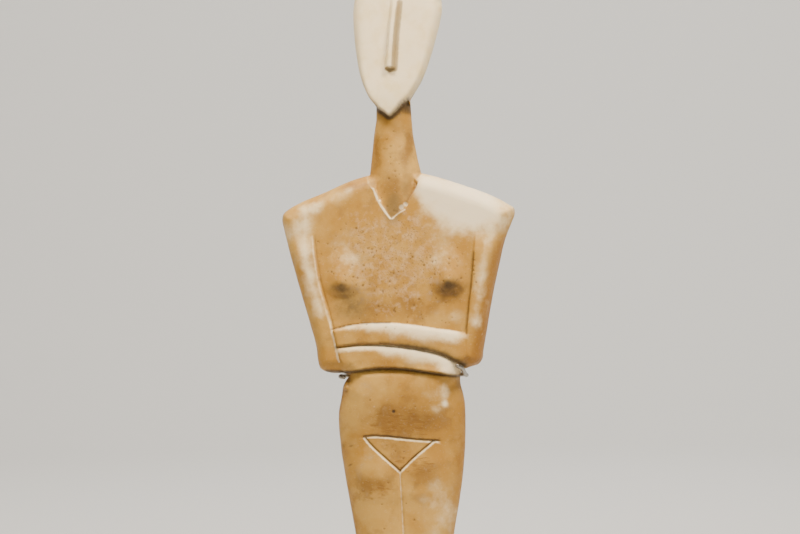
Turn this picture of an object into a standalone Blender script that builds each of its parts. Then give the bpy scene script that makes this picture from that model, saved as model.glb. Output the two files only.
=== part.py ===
"""A folded-arm marble figurine, standing on its toes on a low stone base.

A steel rod mount holds the figure up: a post behind the legs, and a cradle that wraps round the
waist under the elbows. Metres, +Z up, the figure faces -Y. The origin is under the base's middle.

The figure is drawn at 410 mm. Its outline, depths and carving are shares of its own height, so
they are written here as millimetres at the drawn height, and SHARE turns one of them to metres.
"""
import math

import bmesh
import bpy
import numpy as np
from mathutils import Vector
from mathutils.geometry import delaunay_2d_cdt
from mathutils.kdtree import KDTree

# Driving dimensions, in metres
FIGURE_HEIGHT = 0.410
BASE_WIDTH = 0.150
BASE_DEPTH = 0.115
BASE_HEIGHT = 0.024
BASE_BEVEL = 0.0015
POST_DIAMETER = 0.005
POST_SET_DEPTH = 0.014
PRONG_DIAMETER = 0.0022
COLLAR_DIAMETER = 0.013
COLLAR_HEIGHT = 0.0025
FIT_GAP = 0.0003
PRONG_CLEARANCE = 0.0005
POST_CLEARANCE = 0.0025

# The figure's own ruler
DRAWN_HEIGHT = 410.0
SHARE = FIGURE_HEIGHT / DRAWN_HEIGHT
FIGURE_FLOOR = BASE_HEIGHT + FIT_GAP

# How finely the figure is faceted, in drawn millimetres
EDGE_STEP = 4.2
FIELD_STEP = 6.0
LINE_STEP = 3.2
FORM_STEP = 1.5
EDGE_RINGS = 3
CLOSEST_POINTS = 0.4
BACK_COARSENING = 1.35
EDGE_CLEARANCE = 0.8
RING_CLEARANCE = 0.9
WIDEST_BAND = 13.0
HEAD_BAND = 8.0

# How closely rings and grid may follow one another, as shares of a step
RING_KEPT = 0.93
RING_SPREAD = 0.3
GRID_OFF_RINGS = 0.45
GRID_OFF_LINES = 0.62
ROW_HEIGHT = math.sqrt(3) / 2
POINTS_AT_ONCE = 1500

# Outline of the front view, as (across, up)
HEAD_RIGHT_TO_LEFT = [
    (5.4, 343.6), (8.9, 348.75), (12.3, 354.75), (15.7, 364.0), (18.2, 373.25), (20.4, 382.5),
    (21.5, 389.75), (20.2, 398.0), (15.4, 405.0), (8.0, 409.0), (-1.5, 410.0), (-11.5, 408.5),
    (-18.5, 404.5), (-22.4, 397.5), (-23.4, 391.0), (-23.3, 383.75), (-22.4, 374.5), (-21.0, 365.0),
    (-18.9, 355.75), (-16.5, 349.5), (-13.0, 343.25), (-11.5, 341.6),
]
JAW = [
    (-11.5, 341.6), (-9.25, 339.25), (-6.25, 337.0), (-3.75, 335.25), (-1.25, 337.0), (1.25, 339.75),
    (5.4, 343.6),
]
NECK_LEFT = [
    (-11.5, 341.6), (-11.75, 334.0), (-13.0, 326.5), (-13.75, 319.25), (-14.5, 313.25), (-15.25, 306.75),
]
NECK_RIGHT = [(10.5, 307.25), (9.2, 312.75), (8.0, 319.0), (6.7, 326.0), (6.0, 333.75), (5.4, 343.6)]
BODY_LEFT = [
    (-15.25, 306.75), (-23.25, 304.5), (-37.5, 298.75), (-51.5, 293.0), (-56.25, 290.5), (-59.5, 287.75),
    (-60.0, 285.0), (-59.25, 281.0), (-53.0, 256.75), (-46.25, 232.5), (-43.25, 220.5), (-42.5, 213.75),
    (-41.25, 210.25), (-38.5, 208.5), (-34.0, 207.75), (-29.5, 207.75), (-26.75, 206.75),
]
HIPS_AND_LEGS = [
    (-26.75, 206.75), (-28.25, 204.75), (-29.75, 202.25), (-31.0, 196.25), (-32.5, 189.25),
    (-32.75, 182.0), (-32.25, 173.0), (-29.5, 153.0), (-25.25, 128.0), (-19.5, 84.5), (-18.75, 66.25),
    (-19.0, 48.5), (-16.5, 30.75), (-12.75, 19.5), (-13.75, 12.5), (-13.5, 5.0), (-11.0, 0.75),
    (-6.5, 0.0), (-2.0, 0.6), (0.0, 4.0), (2.0, 0.6), (7.0, 0.0), (12.0, 0.75), (14.5, 5.0),
    (14.75, 12.5), (13.0, 19.5), (15.75, 31.25), (18.5, 49.0), (19.5, 66.75), (20.75, 84.75),
    (24.5, 128.0), (27.5, 145.0), (30.0, 163.75), (31.0, 186.75), (30.75, 192.75), (29.75, 198.0),
    (29.0, 200.75), (28.6, 203.5), (28.75, 206.25), (29.25, 208.75),
]
ARM_RIGHT = [
    (29.25, 208.75), (34.5, 210.5), (38.0, 211.75), (39.75, 214.0), (40.5, 218.5), (41.75, 225.5),
    (46.25, 249.25), (49.0, 261.25), (52.0, 273.25), (55.5, 282.0), (57.0, 286.0), (56.75, 288.75),
    (53.5, 291.0), (48.25, 294.0), (33.0, 300.25), (16.0, 305.75), (10.5, 307.25),
]

# Lines of the carving on the front
NECKLINE = [
    (-15.25, 306.75), (-12.0, 299.75), (-9.0, 292.75), (-6.0, 288.0), (-3.5, 284.75), (0.0, 287.5),
    (3.0, 289.25), (6.5, 295.5), (9.5, 301.5), (10.5, 307.25),
]
LEFT_ARM_EDGE = [
    (-42.75, 276.5), (-42.0, 268.5), (-39.9, 254.5), (-34.4, 233.75), (-31.9, 222.25), (-30.0, 214.0),
]
LEFT_ARM_END = (-28.0, 206.0)
RIGHT_ARM_EDGE = [(38.0, 275.25), (37.25, 267.25), (36.0, 253.5), (34.5, 241.25), (33.0, 227.5)]
RIGHT_ARM_END = (31.5, 211.0)
FOREARM_TOP = [(-33.75, 229.75), (-24.75, 231.75), (-4.75, 232.75), (15.25, 230.25), (33.0, 227.5)]
FOREARM_MIDDLE = [
    (-31.5, 220.75), (-19.75, 222.0), (-9.75, 222.0), (0.25, 221.0), (10.0, 219.5), (20.0, 217.0),
    (31.25, 211.0),
]
FOREARM_BOTTOM = [
    (-37.5, 209.0), (-27.5, 208.5), (-10.0, 210.25), (0.0, 210.0), (10.0, 208.75), (29.75, 205.75),
]
TRIANGLE_TOP = [(-18.75, 176.5), (-14.5, 177.0), (-8.0, 176.75), (-0.5, 176.0), (9.25, 175.0), (18.25, 174.5)]
TRIANGLE_LEFT = [(-18.0, 176.0), (-14.75, 172.25), (-8.25, 166.25), (-0.75, 159.75)]
TRIANGLE_RIGHT = [(16.5, 174.75), (14.25, 173.0), (7.25, 167.25), (-0.75, 159.75)]
LEG_CLEFT = [(-0.9, 159.5), (-0.5, 150.5), (0.2, 130.0), (0.2, 84.0), (0.0, 40.0), (0.0, 6.0)]
NOSE = [(-3.25, 359.0), (-2.4, 378.0), (-1.3, 393.0), (-0.9, 399.0)]
SPINE = [(-0.5, 300.0), (-0.5, 240.0), (-0.5, 175.0), (-0.2, 150.0)]
LEFT_BREAST = (-28.5, 253.0)
RIGHT_BREAST = (24.75, 253.25)

# Depths by height, as (up, towards the viewer) and (up, towards the back)
BODY_MIDDLE = [
    (0, -15.0), (5, -11.0), (10, -4.0), (18, 0.0), (30, 2.0), (60, 1.0), (88, -4.0), (120, 0.0),
    (160, 1.0), (190, 0.0), (300, 0.5), (410, 0.5),
]
BODY_FRONT = [
    (0, 17.0), (3, 19.0), (8, 16.0), (16, 10.0), (24, 8.0), (36, 8.5), (52, 9.5), (70, 12.5), (88, 15.5),
    (106, 14.5), (130, 12.8), (142, 12.4), (150, 12.9), (158, 12.9), (172, 11.7), (182, 12.3),
    (193, 13.3), (201, 13.4), (206, 13.0), (212, 11.0), (245, 10.8), (280, 10.5), (300, 10.0), (410, 10.0),
]
BODY_BACK = [
    (0, -12.5), (4, -7.0), (9, 1.0), (14, 8.0), (20, 8.5), (38, 12.0), (60, 13.0), (88, 9.0), (120, 12.5),
    (145, 14.0), (165, 15.5), (190, 12.0), (208, 9.8), (240, 10.5), (280, 10.0), (300, 9.0), (410, 9.0),
]
BODY_ROUNDING = [(0, 5), (20, 11), (60, 18), (150, 21), (190, 18), (202, 12), (210, 7.5), (410, 7.5)]
HEAD_MIDDLE = [(330, -7.0), (337, -6.0), (345, -4.5), (360, 0.0), (380, 5.5), (400, 11.0), (410, 14.0)]
HEAD_ROUNDING = [(330, 1.0), (345, 1.5), (360, 3.0), (375, 5.5), (395, 8.0), (410, 9.0)]
HEAD_FRONT_DEPTH = 7.0
HEAD_BACK_DEPTH = 9.0
NECK_MIDDLE = [(300, 0.5), (335, 1.5), (410, 1.5)]
NECK_DEPTH = 9.5
NECK_LEFT_FOOT = (-16.5, 284.0)
NECK_RIGHT_FOOT = (12.0, 284.0)
NECK_FULLER_BELOW = 0.8
NECK_FULLER = (300.0, 285.0)
NECK_FADE = (343.0, 372.0)
CHIN_FADE = (341.0, 350.0)
BACK_ROUNDER = 1.5
BACK_MELT = 2.5
MELT_FADE = 3.0
FAR_BEHIND = 50.0

# Sizes of the low relief
ARM_HEIGHT = 1.8
ARM_WALL = 0.9
ARM_FADE = (278.0, 266.0)
ARM_FOOT = 200.0
FOREARM_LEVEL = 1.0
FOREARM_HEIGHT = 2.1
FOREARM_LEDGE = 1.2
FOREARM_FOOT = 0.8
FOREARM_BEVEL = [(-34.0, 1.0), (-24.0, 2.4), (-4.0, 5.6), (30.0, 6.6)]
FOREARM_LIP = 1.9
HAND_FADE = (28.0, 37.0)
BREAST_HEIGHT = 4.2
BREAST_HALF_WIDTH = 10.5
BREAST_ABOVE = 18.0
BREAST_BELOW = 8.0
BREAST_TIP = 0.1
BREAST_POWER = 1.25
NECKLINE_WALL = 0.6
NOSE_HEIGHT = [(356, 3.8), (375, 3.6), (390, 2.2), (400, 0.0), (410, 0.0)]
NOSE_HALF_WIDTH = 2.7
NOSE_FLANK = 0.6
NOSE_END = 0.7

# Grooves, as (line, half width, depth)
GROOVE_HALF_WIDTH = 0.9
GROOVE_DEPTH = 0.8
FRONT_GROOVES = [
    (LEFT_ARM_EDGE[2:], 0.9, 0.7),
    (RIGHT_ARM_EDGE[1:], 0.9, 0.5),
    (FOREARM_BOTTOM[1:], 1.1, 0.5),
    (TRIANGLE_TOP, GROOVE_HALF_WIDTH, GROOVE_DEPTH),
    (TRIANGLE_LEFT, GROOVE_HALF_WIDTH, GROOVE_DEPTH),
    (TRIANGLE_RIGHT, GROOVE_HALF_WIDTH, GROOVE_DEPTH),
]
CLEFT_HALF_WIDTH = [(0, 2.2), (40, 2.2), (120, 1.2), (160, 0.9), (410, 0.9)]
CLEFT_DEPTH = [(0, 3.0), (40, 3.0), (120, 1.2), (160, 0.8), (410, 0.8)]
SPINE_GROOVE = (SPINE, 3.5, 1.2)
BACK_CLEFT = (LEG_CLEFT, 2.2, 2.0)


def at_height(up, table):
    """Value of a table of (height, value) at each height, along a curve that never overshoots."""
    heights, values = np.array(table, float).T
    steps = np.diff(heights)
    rises = np.diff(values) / steps
    turns = rises[1:] * rises[:-1]
    totals = np.where(turns > 0, rises[1:] + rises[:-1], 1)
    slopes = np.concatenate([rises[:1], np.where(turns > 0, 2 * turns / totals, 0), rises[-1:]])
    row = np.clip(np.searchsorted(heights, up) - 1, 0, len(steps) - 1)
    step = steps[row]
    part = np.clip((up - heights[row]) / step, 0, 1)
    return (
        (2 * part**3 - 3 * part**2 + 1) * values[row]
        + (part**3 - 2 * part**2 + part) * step * slopes[row]
        + (3 * part**2 - 2 * part**3) * values[row + 1]
        + (part**3 - part**2) * step * slopes[row + 1]
    )


def ease(value):
    """Smooth step from 0 to 1."""
    value = np.clip(value, 0, 1)
    return value * value * (3 - 2 * value)


def between(value, start, end):
    """0 before a start, 1 past an end, eased between them."""
    return ease((value - start) / (end - start))


def rounded(value):
    """Quarter of an ellipse: 0 at an edge, 1 from its full width on."""
    return np.sqrt(1 - (1 - np.clip(value, 0, 1)) ** 2)


def smooth_line(points, spacing):
    """Points along a smooth curve through the given ones, at most one spacing apart."""
    points = np.array(points, float)
    steps = np.linalg.norm(np.diff(points, axis=0), axis=1)
    slopes = np.diff(points, axis=0) / steps[:, None]
    shares = (steps[:-1] / (steps[1:] + steps[:-1]))[:, None]
    inner = slopes[1:] * shares + slopes[:-1] * (1 - shares)
    tangents = np.vstack([slopes[:1], inner, slopes[-1:]])
    line = [points[0]]
    for i, step in enumerate(steps):
        count = max(1, math.ceil(step / spacing))
        for k in range(1, count + 1):
            t = k / count
            line.append(
                (2 * t**3 - 3 * t**2 + 1) * points[i]
                + (t**3 - 2 * t**2 + t) * step * tangents[i]
                + (3 * t**2 - 2 * t**3) * points[i + 1]
                + (t**3 - t**2) * step * tangents[i + 1]
            )
    return np.array(line)


def joined(runs, spacing):
    """One closed loop from runs that each start where the last one ends."""
    return np.vstack([smooth_line(run, spacing)[:-1] for run in runs])


def closest(points, line):
    """Distance to a line, positive on its left-hand side and negative on its right."""
    start = line[:-1]
    step = np.diff(line, axis=0)
    square = (step**2).sum(axis=1)
    result = np.empty(len(points))
    for first in range(0, len(points), POINTS_AT_ONCE):
        last = first + POINTS_AT_ONCE
        across = points[first:last, :1] - start[:, 0]
        up = points[first:last, 1:] - start[:, 1]
        part = np.clip((across * step[:, 0] + up * step[:, 1]) / square, 0, 1)
        away = (across - part * step[:, 0]) ** 2 + (up - part * step[:, 1]) ** 2
        nearest = away.argmin(axis=1)
        rows = np.arange(len(nearest))
        turn = step[nearest, 0] * up[rows, nearest] - step[nearest, 1] * across[rows, nearest]
        result[first:last] = np.where(turn >= 0, 1, -1) * np.sqrt(away[rows, nearest])
    return result


def inside(points, loop):
    """Whether each point lies inside a closed loop."""
    start, end = loop, np.roll(loop, -1, axis=0)
    rise = np.where(end[:, 1] == start[:, 1], 1, end[:, 1] - start[:, 1])
    slope = (end[:, 0] - start[:, 0]) / rise
    result = np.empty(len(points), bool)
    for first in range(0, len(points), POINTS_AT_ONCE):
        last = first + POINTS_AT_ONCE
        across, up = points[first:last, :1], points[first:last, 1:]
        passes = (start[:, 1] > up) != (end[:, 1] > up)
        crossing = start[:, 0] + (up - start[:, 1]) * slope
        result[first:last] = (passes & (across < crossing)).sum(axis=1) % 2 == 1
    return result


def depth_inside(points, loop):
    """How deep inside a closed loop each point lies, 0 outside it."""
    result = np.zeros(len(points))
    within = inside(points, loop)
    result[within] = np.abs(closest(points[within], np.vstack([loop, loop[:1]])))
    return result


# Closed loops of the whole figure and of its parts
FIGURE_RUNS = [HEAD_RIGHT_TO_LEFT, NECK_LEFT, BODY_LEFT, HIPS_AND_LEGS, ARM_RIGHT, NECK_RIGHT]
NECK_CHORD = [NECKLINE[-1], NECKLINE[0]]
HEAD_LOOP = joined([HEAD_RIGHT_TO_LEFT, JAW], FORM_STEP)
FIGURE_LOOP = joined(FIGURE_RUNS, FORM_STEP)
BODY_LOOP = joined([BODY_LEFT, HIPS_AND_LEGS, ARM_RIGHT, NECK_CHORD], FORM_STEP)
NECKLINE_LOOP = joined([NECKLINE, NECK_CHORD], FORM_STEP)


def side_at(up, line):
    """How far across a line lies at each height."""
    across, heights = np.array(sorted(line, key=lambda point: point[1])).T
    return np.interp(up, heights, across)


def neck_roundness(points):
    """1 along the neck's middle line, falling to 0 at its sides."""
    left = side_at(points[:, 1], NECK_LEFT + [NECK_LEFT_FOOT])
    right = side_at(points[:, 1], NECK_RIGHT + [NECK_RIGHT_FOOT])
    offset = (2 * points[:, 0] - left - right) / (right - left)
    return np.sqrt(np.clip(1 - offset**2, 0, 1))


def groove(points, line, half_width, depth):
    """Depth of a V-shaped groove along a line."""
    away = np.abs(closest(points, smooth_line(line, FORM_STEP)))
    return depth * np.clip(1 - away / half_width, 0, 1)


def breast(points, centre):
    """A low cone with a long slope above its tip and a short one below."""
    across = (points[:, 0] - centre[0]) / BREAST_HALF_WIDTH
    up = points[:, 1] - centre[1]
    distance = np.hypot(across, np.where(up > 0, up / BREAST_ABOVE, up / BREAST_BELOW))
    cone = np.clip(1 - np.hypot(distance, BREAST_TIP), 0, 1)
    return BREAST_HEIGHT * cone**BREAST_POWER


def arms(points):
    """Upper arms and crossed forearms, raised from the chest."""
    across, up = points.T
    left_out = -closest(points, smooth_line(LEFT_ARM_EDGE + [LEFT_ARM_END], FORM_STEP))
    right_out = closest(points, smooth_line(RIGHT_ARM_EDGE + [RIGHT_ARM_END], FORM_STEP))
    outside = np.maximum(ease(0.5 + left_out / ARM_WALL), ease(0.5 + right_out / ARM_WALL))
    upper = ARM_HEIGHT * between(up, *ARM_FADE) * outside * (up > ARM_FOOT)
    below_top = -closest(points, smooth_line(FOREARM_TOP, FORM_STEP))
    above_middle = closest(points, smooth_line(FOREARM_MIDDLE, FORM_STEP))
    above_bottom = closest(points, smooth_line(FOREARM_BOTTOM, FORM_STEP))
    bevel = at_height(across, FOREARM_BEVEL)
    first = rounded(below_top / bevel) * rounded(above_middle / FOREARM_LIP)
    second = rounded(-above_middle / bevel) * rounded(above_bottom / FOREARM_LIP)
    level = FOREARM_LEVEL * rounded(below_top / FOREARM_LEDGE) * rounded(above_bottom / FOREARM_FOOT)
    between_arms = ease(0.5 - left_out / ARM_WALL) * (1 - between(across, *HAND_FADE))
    lower = between_arms * (level + FOREARM_HEIGHT * np.maximum(first, second))
    return np.maximum(upper, np.where((below_top > 0) & (above_bottom > 0), lower, 0))


def carving(points):
    """All low relief on the body's front, positive towards the viewer."""
    up = points[:, 1]
    relief = arms(points) + np.maximum(breast(points, LEFT_BREAST), breast(points, RIGHT_BREAST))
    for line, half_width, depth in FRONT_GROOVES:
        relief -= groove(points, line, half_width, depth)
    cleft = groove(points, LEG_CLEFT, at_height(up, CLEFT_HALF_WIDTH), at_height(up, CLEFT_DEPTH))
    return relief - cleft


def neckline_opening(points):
    """1 inside the V of the neckline, 0 outside it, with a steep wall between them."""
    side = np.where(inside(points, NECKLINE_LOOP), 1, -1)
    away = np.abs(closest(points, smooth_line(NECKLINE, FORM_STEP)))
    return ease(0.5 + side * away / NECKLINE_WALL)


def nose(points):
    """The nose, a wedge that grows from the forehead and ends in a square cut."""
    away = np.abs(closest(points, smooth_line(NOSE, FORM_STEP))) / NOSE_HALF_WIDTH
    section = np.clip((1 - away) / NOSE_FLANK, 0, 1)
    end = ease((points[:, 1] - NOSE[0][1]) / NOSE_END)
    return at_height(points[:, 1], NOSE_HEIGHT) * section * end


def front_depth(points):
    """Y of the front surface, in drawn millimetres."""
    up = points[:, 1]
    middle = at_height(up, BODY_MIDDLE)
    in_body = depth_inside(points, BODY_LOOP)
    edge = rounded(in_body / at_height(up, BODY_ROUNDING))
    body = middle - (at_height(up, BODY_FRONT) + middle) * edge - carving(points) * ease(2 * edge)
    fuller = NECK_FULLER_BELOW * between(up, *NECK_FULLER)
    neck = at_height(up, NECK_MIDDLE) - (NECK_DEPTH + fuller) * neck_roundness(points)
    opening = np.where(in_body > 0, neckline_opening(points), 1)
    trunk = body * (1 - opening) + neck * opening
    in_head = depth_inside(points, HEAD_LOOP)
    full = rounded(in_head / at_height(up, HEAD_ROUNDING))
    face = at_height(up, HEAD_MIDDLE) - HEAD_FRONT_DEPTH * full - nose(points)
    behind_face = trunk + FAR_BEHIND * between(up, *CHIN_FADE)
    return np.where(in_head > 0, np.minimum(face, behind_face), trunk)


def back_depth(points):
    """Y of the back surface: body, neck and head, melted into one another."""
    up = points[:, 1]
    middle = at_height(up, BODY_MIDDLE)
    in_body = depth_inside(points, BODY_LOOP)
    edge = rounded(in_body / (at_height(up, BODY_ROUNDING) + BACK_ROUNDER))
    body = middle + (at_height(up, BODY_BACK) - middle) * edge
    body = body - groove(points, *SPINE_GROOVE) * ease(2 * edge) - groove(points, *BACK_CLEFT)
    fading = 1 - between(up, *NECK_FADE)
    neck = at_height(up, NECK_MIDDLE) + NECK_DEPTH * neck_roundness(points) * fading
    in_head = depth_inside(points, HEAD_LOOP)
    full = rounded(in_head / (at_height(up, HEAD_ROUNDING) + 2 * BACK_ROUNDER))
    head = at_height(up, HEAD_MIDDLE) + HEAD_BACK_DEPTH * full
    sheets = [
        np.where(in_body > 0, body, -FAR_BEHIND),
        np.where(up > min(NECKLINE, key=lambda point: point[1])[1], neck, -FAR_BEHIND),
        np.where(in_head > 0, head, -FAR_BEHIND),
    ]
    highest = np.max(sheets, axis=0)
    total = sum(np.exp((sheet - highest) / BACK_MELT) for sheet in sheets)
    near_rim = ease(depth_inside(points, FIGURE_LOOP) / MELT_FADE)
    return highest + BACK_MELT * np.log(total) * near_rim


def rim_depth(points):
    """Y of the outline itself, where front and back meet."""
    up = points[:, 1]
    trunk = np.where(up > NECKLINE[0][1], at_height(up, NECK_MIDDLE), at_height(up, BODY_MIDDLE))
    return np.where(up > JAW[0][1] - 0.1, at_height(up, HEAD_MIDDLE), trunk)


def edge_normals(loop):
    """Unit normals into a closed loop that runs anticlockwise."""
    ahead = np.roll(loop, -1, axis=0) - loop
    behind = loop - np.roll(loop, 1, axis=0)
    ahead = ahead / np.linalg.norm(ahead, axis=1)[:, None]
    behind = behind / np.linalg.norm(behind, axis=1)[:, None]
    along = ahead + behind
    along = along / np.linalg.norm(along, axis=1)[:, None]
    return np.stack([-along[:, 1], along[:, 0]], axis=1)


def parallel(line, offsets, spacing=LINE_STEP):
    """Lines beside a smooth line, at the given distances to its left."""
    points = smooth_line(line, spacing)
    along = np.gradient(points, axis=0)
    along = along / np.linalg.norm(along, axis=1)[:, None]
    side = np.stack([-along[:, 1], along[:, 0]], axis=1)
    return [points + offset * side for offset in offsets]


def carved_lines():
    """Lines that the front's facets follow, so that its carving stays crisp."""
    wall = NECKLINE_WALL / 2
    half = GROOVE_HALF_WIDTH
    lines = parallel(NECKLINE[1:-1], (-wall, wall))
    lines += parallel(JAW[1:-1], (-0.4, 0.15, 2.0))
    lines += parallel(LEFT_ARM_EDGE, (-half, 0.0, half))
    lines += parallel(RIGHT_ARM_EDGE, (-half, 0.0, half))
    lines += parallel(FOREARM_TOP, (0.0, -1.2, -3.4))
    lines += parallel(FOREARM_MIDDLE, (FOREARM_LIP, 0.0, -1.0, -3.4))
    lines += parallel(FOREARM_BOTTOM[1:], (-1.1, 0.0, FOREARM_LIP))
    for line in (TRIANGLE_TOP, TRIANGLE_LEFT, TRIANGLE_RIGHT):
        lines += parallel(line, (-half, 0.0, half))
    lines += parallel(LEG_CLEFT, (-1.5, 0.0, 1.5))
    sides = [NOSE_HALF_WIDTH * share for share in (-1, -1 + NOSE_FLANK, 1 - NOSE_FLANK, 1)]
    lines += parallel(NOSE, sides)
    for lift in (0.0, NOSE_END):
        lines.append(np.array([(NOSE[0][0] + side, NOSE[0][1] + lift) for side in sides]))
    for centre in (LEFT_BREAST, RIGHT_BREAST):
        for size in (0.03, 0.35, 0.75):
            turns = np.linspace(0, 2 * math.pi, 10)
            tall = np.where(np.sin(turns) > 0, BREAST_ABOVE, BREAST_BELOW)
            around = np.stack([BREAST_HALF_WIDTH * np.cos(turns), tall * np.sin(turns)], axis=1)
            lines.append(np.array(centre) + size * around)
    return lines


def back_lines():
    """Lines that the back's facets follow: the spine and the cleft between the legs."""
    spine_half, cleft_half = SPINE_GROOVE[1], BACK_CLEFT[1]
    lines = parallel(SPINE, (-spine_half, 0.0, spine_half), 2 * EDGE_STEP)
    return lines + parallel(LEG_CLEFT, (-cleft_half, 0.0, cleft_half), FIELD_STEP)


def crowded(point, cells, reach):
    """Whether a kept point lies closer than the reach, looked up in a grid of cells that wide."""
    column, row = int(point[0] // reach), int(point[1] // reach)
    for i in (column - 1, column, column + 1):
        for j in (row - 1, row, row + 1):
            if any(math.dist(point, other) < reach for other in cells.get((i, j), ())):
                return True
    cells.setdefault((column, row), []).append(point)
    return False


def guide_points(lines, rim):
    """Points along the carved lines and the guide edges between them."""
    points, edges, cells = [], [], {}
    for line in lines:
        deep_enough = depth_inside(line, rim) > EDGE_CLEARANCE
        last = None
        for point, good in zip(line, deep_enough):
            if not good:
                last = None
            elif not crowded(tuple(point), cells, CLOSEST_POINTS):
                points.append(point)
                if last is not None:
                    edges.append((last, len(points) - 1))
                last = len(points) - 1
    return points, edges


def sheet_points(rim, lines, spacing, rings):
    """Points and guide edges for one side of the figure, all inside its rim."""
    points, edges = guide_points(lines, rim)
    guides = KDTree(len(points))
    for i, (across, up) in enumerate(points):
        guides.insert((across, up, 0), i)
    guides.balance()

    def is_free(place, reach):
        return guides.find((place[0], place[1], 0))[2] > reach

    normals = edge_normals(rim)
    body_band = at_height(rim[:, 1], BODY_ROUNDING)
    band = np.minimum(np.where(rim[:, 1] > NECKLINE[0][1], HEAD_BAND, body_band), WIDEST_BAND)
    for k in range(1, rings + 1):
        deep = band * (1 - math.cos(k / rings * math.pi / 2))
        ring = rim + normals * deep[:, None]
        clear = depth_inside(ring, rim) > RING_KEPT * deep
        last = None
        for place, good in zip(ring, clear):
            apart = last is None or math.dist(place, last) > RING_SPREAD * spacing
            if good and apart and is_free(place, RING_CLEARANCE):
                points.append(place)
                last = place
    low, high = rim.min(axis=0), rim.max(axis=0)
    row_step = spacing * ROW_HEIGHT
    grid = []
    for row in range(int((high[1] - low[1]) / row_step) + 1):
        for across in np.arange(low[0] + 0.5 * spacing * (row % 2), high[0], spacing):
            grid.append((across, low[1] + row * row_step))
    grid = np.array(grid)
    order = np.argsort(rim[:, 1])
    reach = np.interp(grid[:, 1], rim[order, 1], band[order])
    grid = grid[depth_inside(grid, rim) > reach + GRID_OFF_RINGS * spacing]
    points += [place for place in grid if is_free(place, GRID_OFF_LINES * spacing)]
    return np.array(points), edges


def filled(rim, points, edges):
    """Triangles that fill the rim through the points, with no edge that cuts straight across it."""
    count = len(rim)
    while True:
        places = [Vector(p) for p in rim] + [Vector(p) for p in points]
        guide = [(a + count, b + count) for a, b in edges]
        spots, _, faces, origins, _, _ = delaunay_2d_cdt(places, guide, [list(range(count))], 1, 1e-5)
        rim_at = {i: min(o) for i, o in enumerate(origins) if o and min(o) < count}
        extra = []
        for face in faces:
            for a, b in zip(face, face[1:] + face[:1]):
                if a in rim_at and b in rim_at and rim_at[a] < rim_at[b]:
                    if (rim_at[b] - rim_at[a]) not in (1, count - 1):
                        extra.append((np.array(spots[a]) + np.array(spots[b])) / 2)
        if not extra:
            return np.array([tuple(s) for s in spots]), faces, rim_at
        points = np.vstack([points, extra])


def figure_mesh(name):
    """The whole figure as one closed mesh, a front and a back sheet that share the rim."""
    rim = joined(FIGURE_RUNS, EDGE_STEP)
    places = [(x, y, z) for (x, z), y in zip(rim, rim_depth(rim))]
    triangles = []
    sides = (
        (carved_lines(), FIELD_STEP, front_depth, False),
        (back_lines(), FIELD_STEP * BACK_COARSENING, back_depth, True),
    )
    for lines, spacing, depth, is_back in sides:
        points, edges = sheet_points(rim, lines, spacing, EDGE_RINGS)
        spots, faces, rim_at = filled(rim, points, edges)
        inner = [i for i in range(len(spots)) if i not in rim_at]
        place = dict(zip(inner, range(len(places), len(places) + len(inner))))
        places += [(x, y, z) for (x, z), y in zip(spots[inner], depth(spots[inner]))]
        place.update(rim_at)
        for face in faces:
            corners = [place[i] for i in face]
            triangles.append(corners[::-1] if is_back else corners)
    in_metres = np.array(places) * SHARE + np.array([0, 0, FIGURE_FLOOR])
    mesh = bpy.data.meshes.new(name)
    mesh.from_pydata(in_metres.tolist(), [], triangles)
    mesh.validate()
    mesh.shade_smooth()
    return mesh


def make_material(name, colour, roughness, metallic=0.0):
    material = bpy.data.materials.new(name)
    material.use_nodes = True
    shader = material.node_tree.nodes["Principled BSDF"]
    shader.inputs["Base Color"].default_value = (*colour, 1)
    shader.inputs["Roughness"].default_value = roughness
    shader.inputs["Metallic"].default_value = metallic
    return material


def add_object(name, mesh, material):
    thing = bpy.data.objects.new(name, mesh)
    thing.data.materials.append(material)
    bpy.context.scene.collection.objects.link(thing)
    return thing


def rod(name, points, diameter):
    """A round rod along straight pieces, with flat closed ends."""
    curve = bpy.data.curves.new(name, "CURVE")
    curve.dimensions = "3D"
    curve.bevel_depth = diameter / 2
    curve.bevel_resolution = 3
    curve.use_fill_caps = True
    spline = curve.splines.new("POLY")
    spline.points.add(len(points) - 1)
    for target, point in zip(spline.points, points):
        target.co = (*point, 1)
    thing = bpy.data.objects.new(name, curve)
    bpy.context.scene.collection.objects.link(thing)
    return thing


ROUND_SIDES = 32


def cylinder(name, diameter, bottom, top, centre):
    """An upright cylinder between two heights."""
    mesh = bpy.data.meshes.new(name)
    shape = bmesh.new()
    radius = diameter / 2
    bmesh.ops.create_cone(shape, cap_ends=True, segments=ROUND_SIDES, radius1=radius, radius2=radius,
                          depth=top - bottom)
    bmesh.ops.translate(shape, vec=(centre[0], centre[1], (top + bottom) / 2), verts=shape.verts)
    shape.to_mesh(mesh)
    shape.free()
    thing = bpy.data.objects.new(name, mesh)
    bpy.context.scene.collection.objects.link(thing)
    return thing


def boolean(target, tool, operation):
    modifier = target.modifiers.new(operation.title(), "BOOLEAN")
    modifier.operation = operation
    modifier.object = tool
    tool.hide_render = True
    tool.display_type = "WIRE"


def figure_point(across, up, depth):
    """A place beside the figure, given in its drawn millimetres, in metres."""
    return Vector((across * SHARE, depth * SHARE, up * SHARE + FIGURE_FLOOR))


# The cradle runs level under the left elbow, whose underside is a point of the outline
ELBOW_UNDERSIDE = BODY_LEFT[-2][1]
CRADLE_STEP = 0.003
BEND_STEPS = 5


def rod_reach():
    """From the figure's surface to the middle of the cradle's rod."""
    return PRONG_DIAMETER / 2 + PRONG_CLEARANCE


def cradle_level():
    """Height of the cradle's rod, just under the left elbow."""
    return figure_point(0, ELBOW_UNDERSIDE, 0).z - rod_reach()


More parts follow.
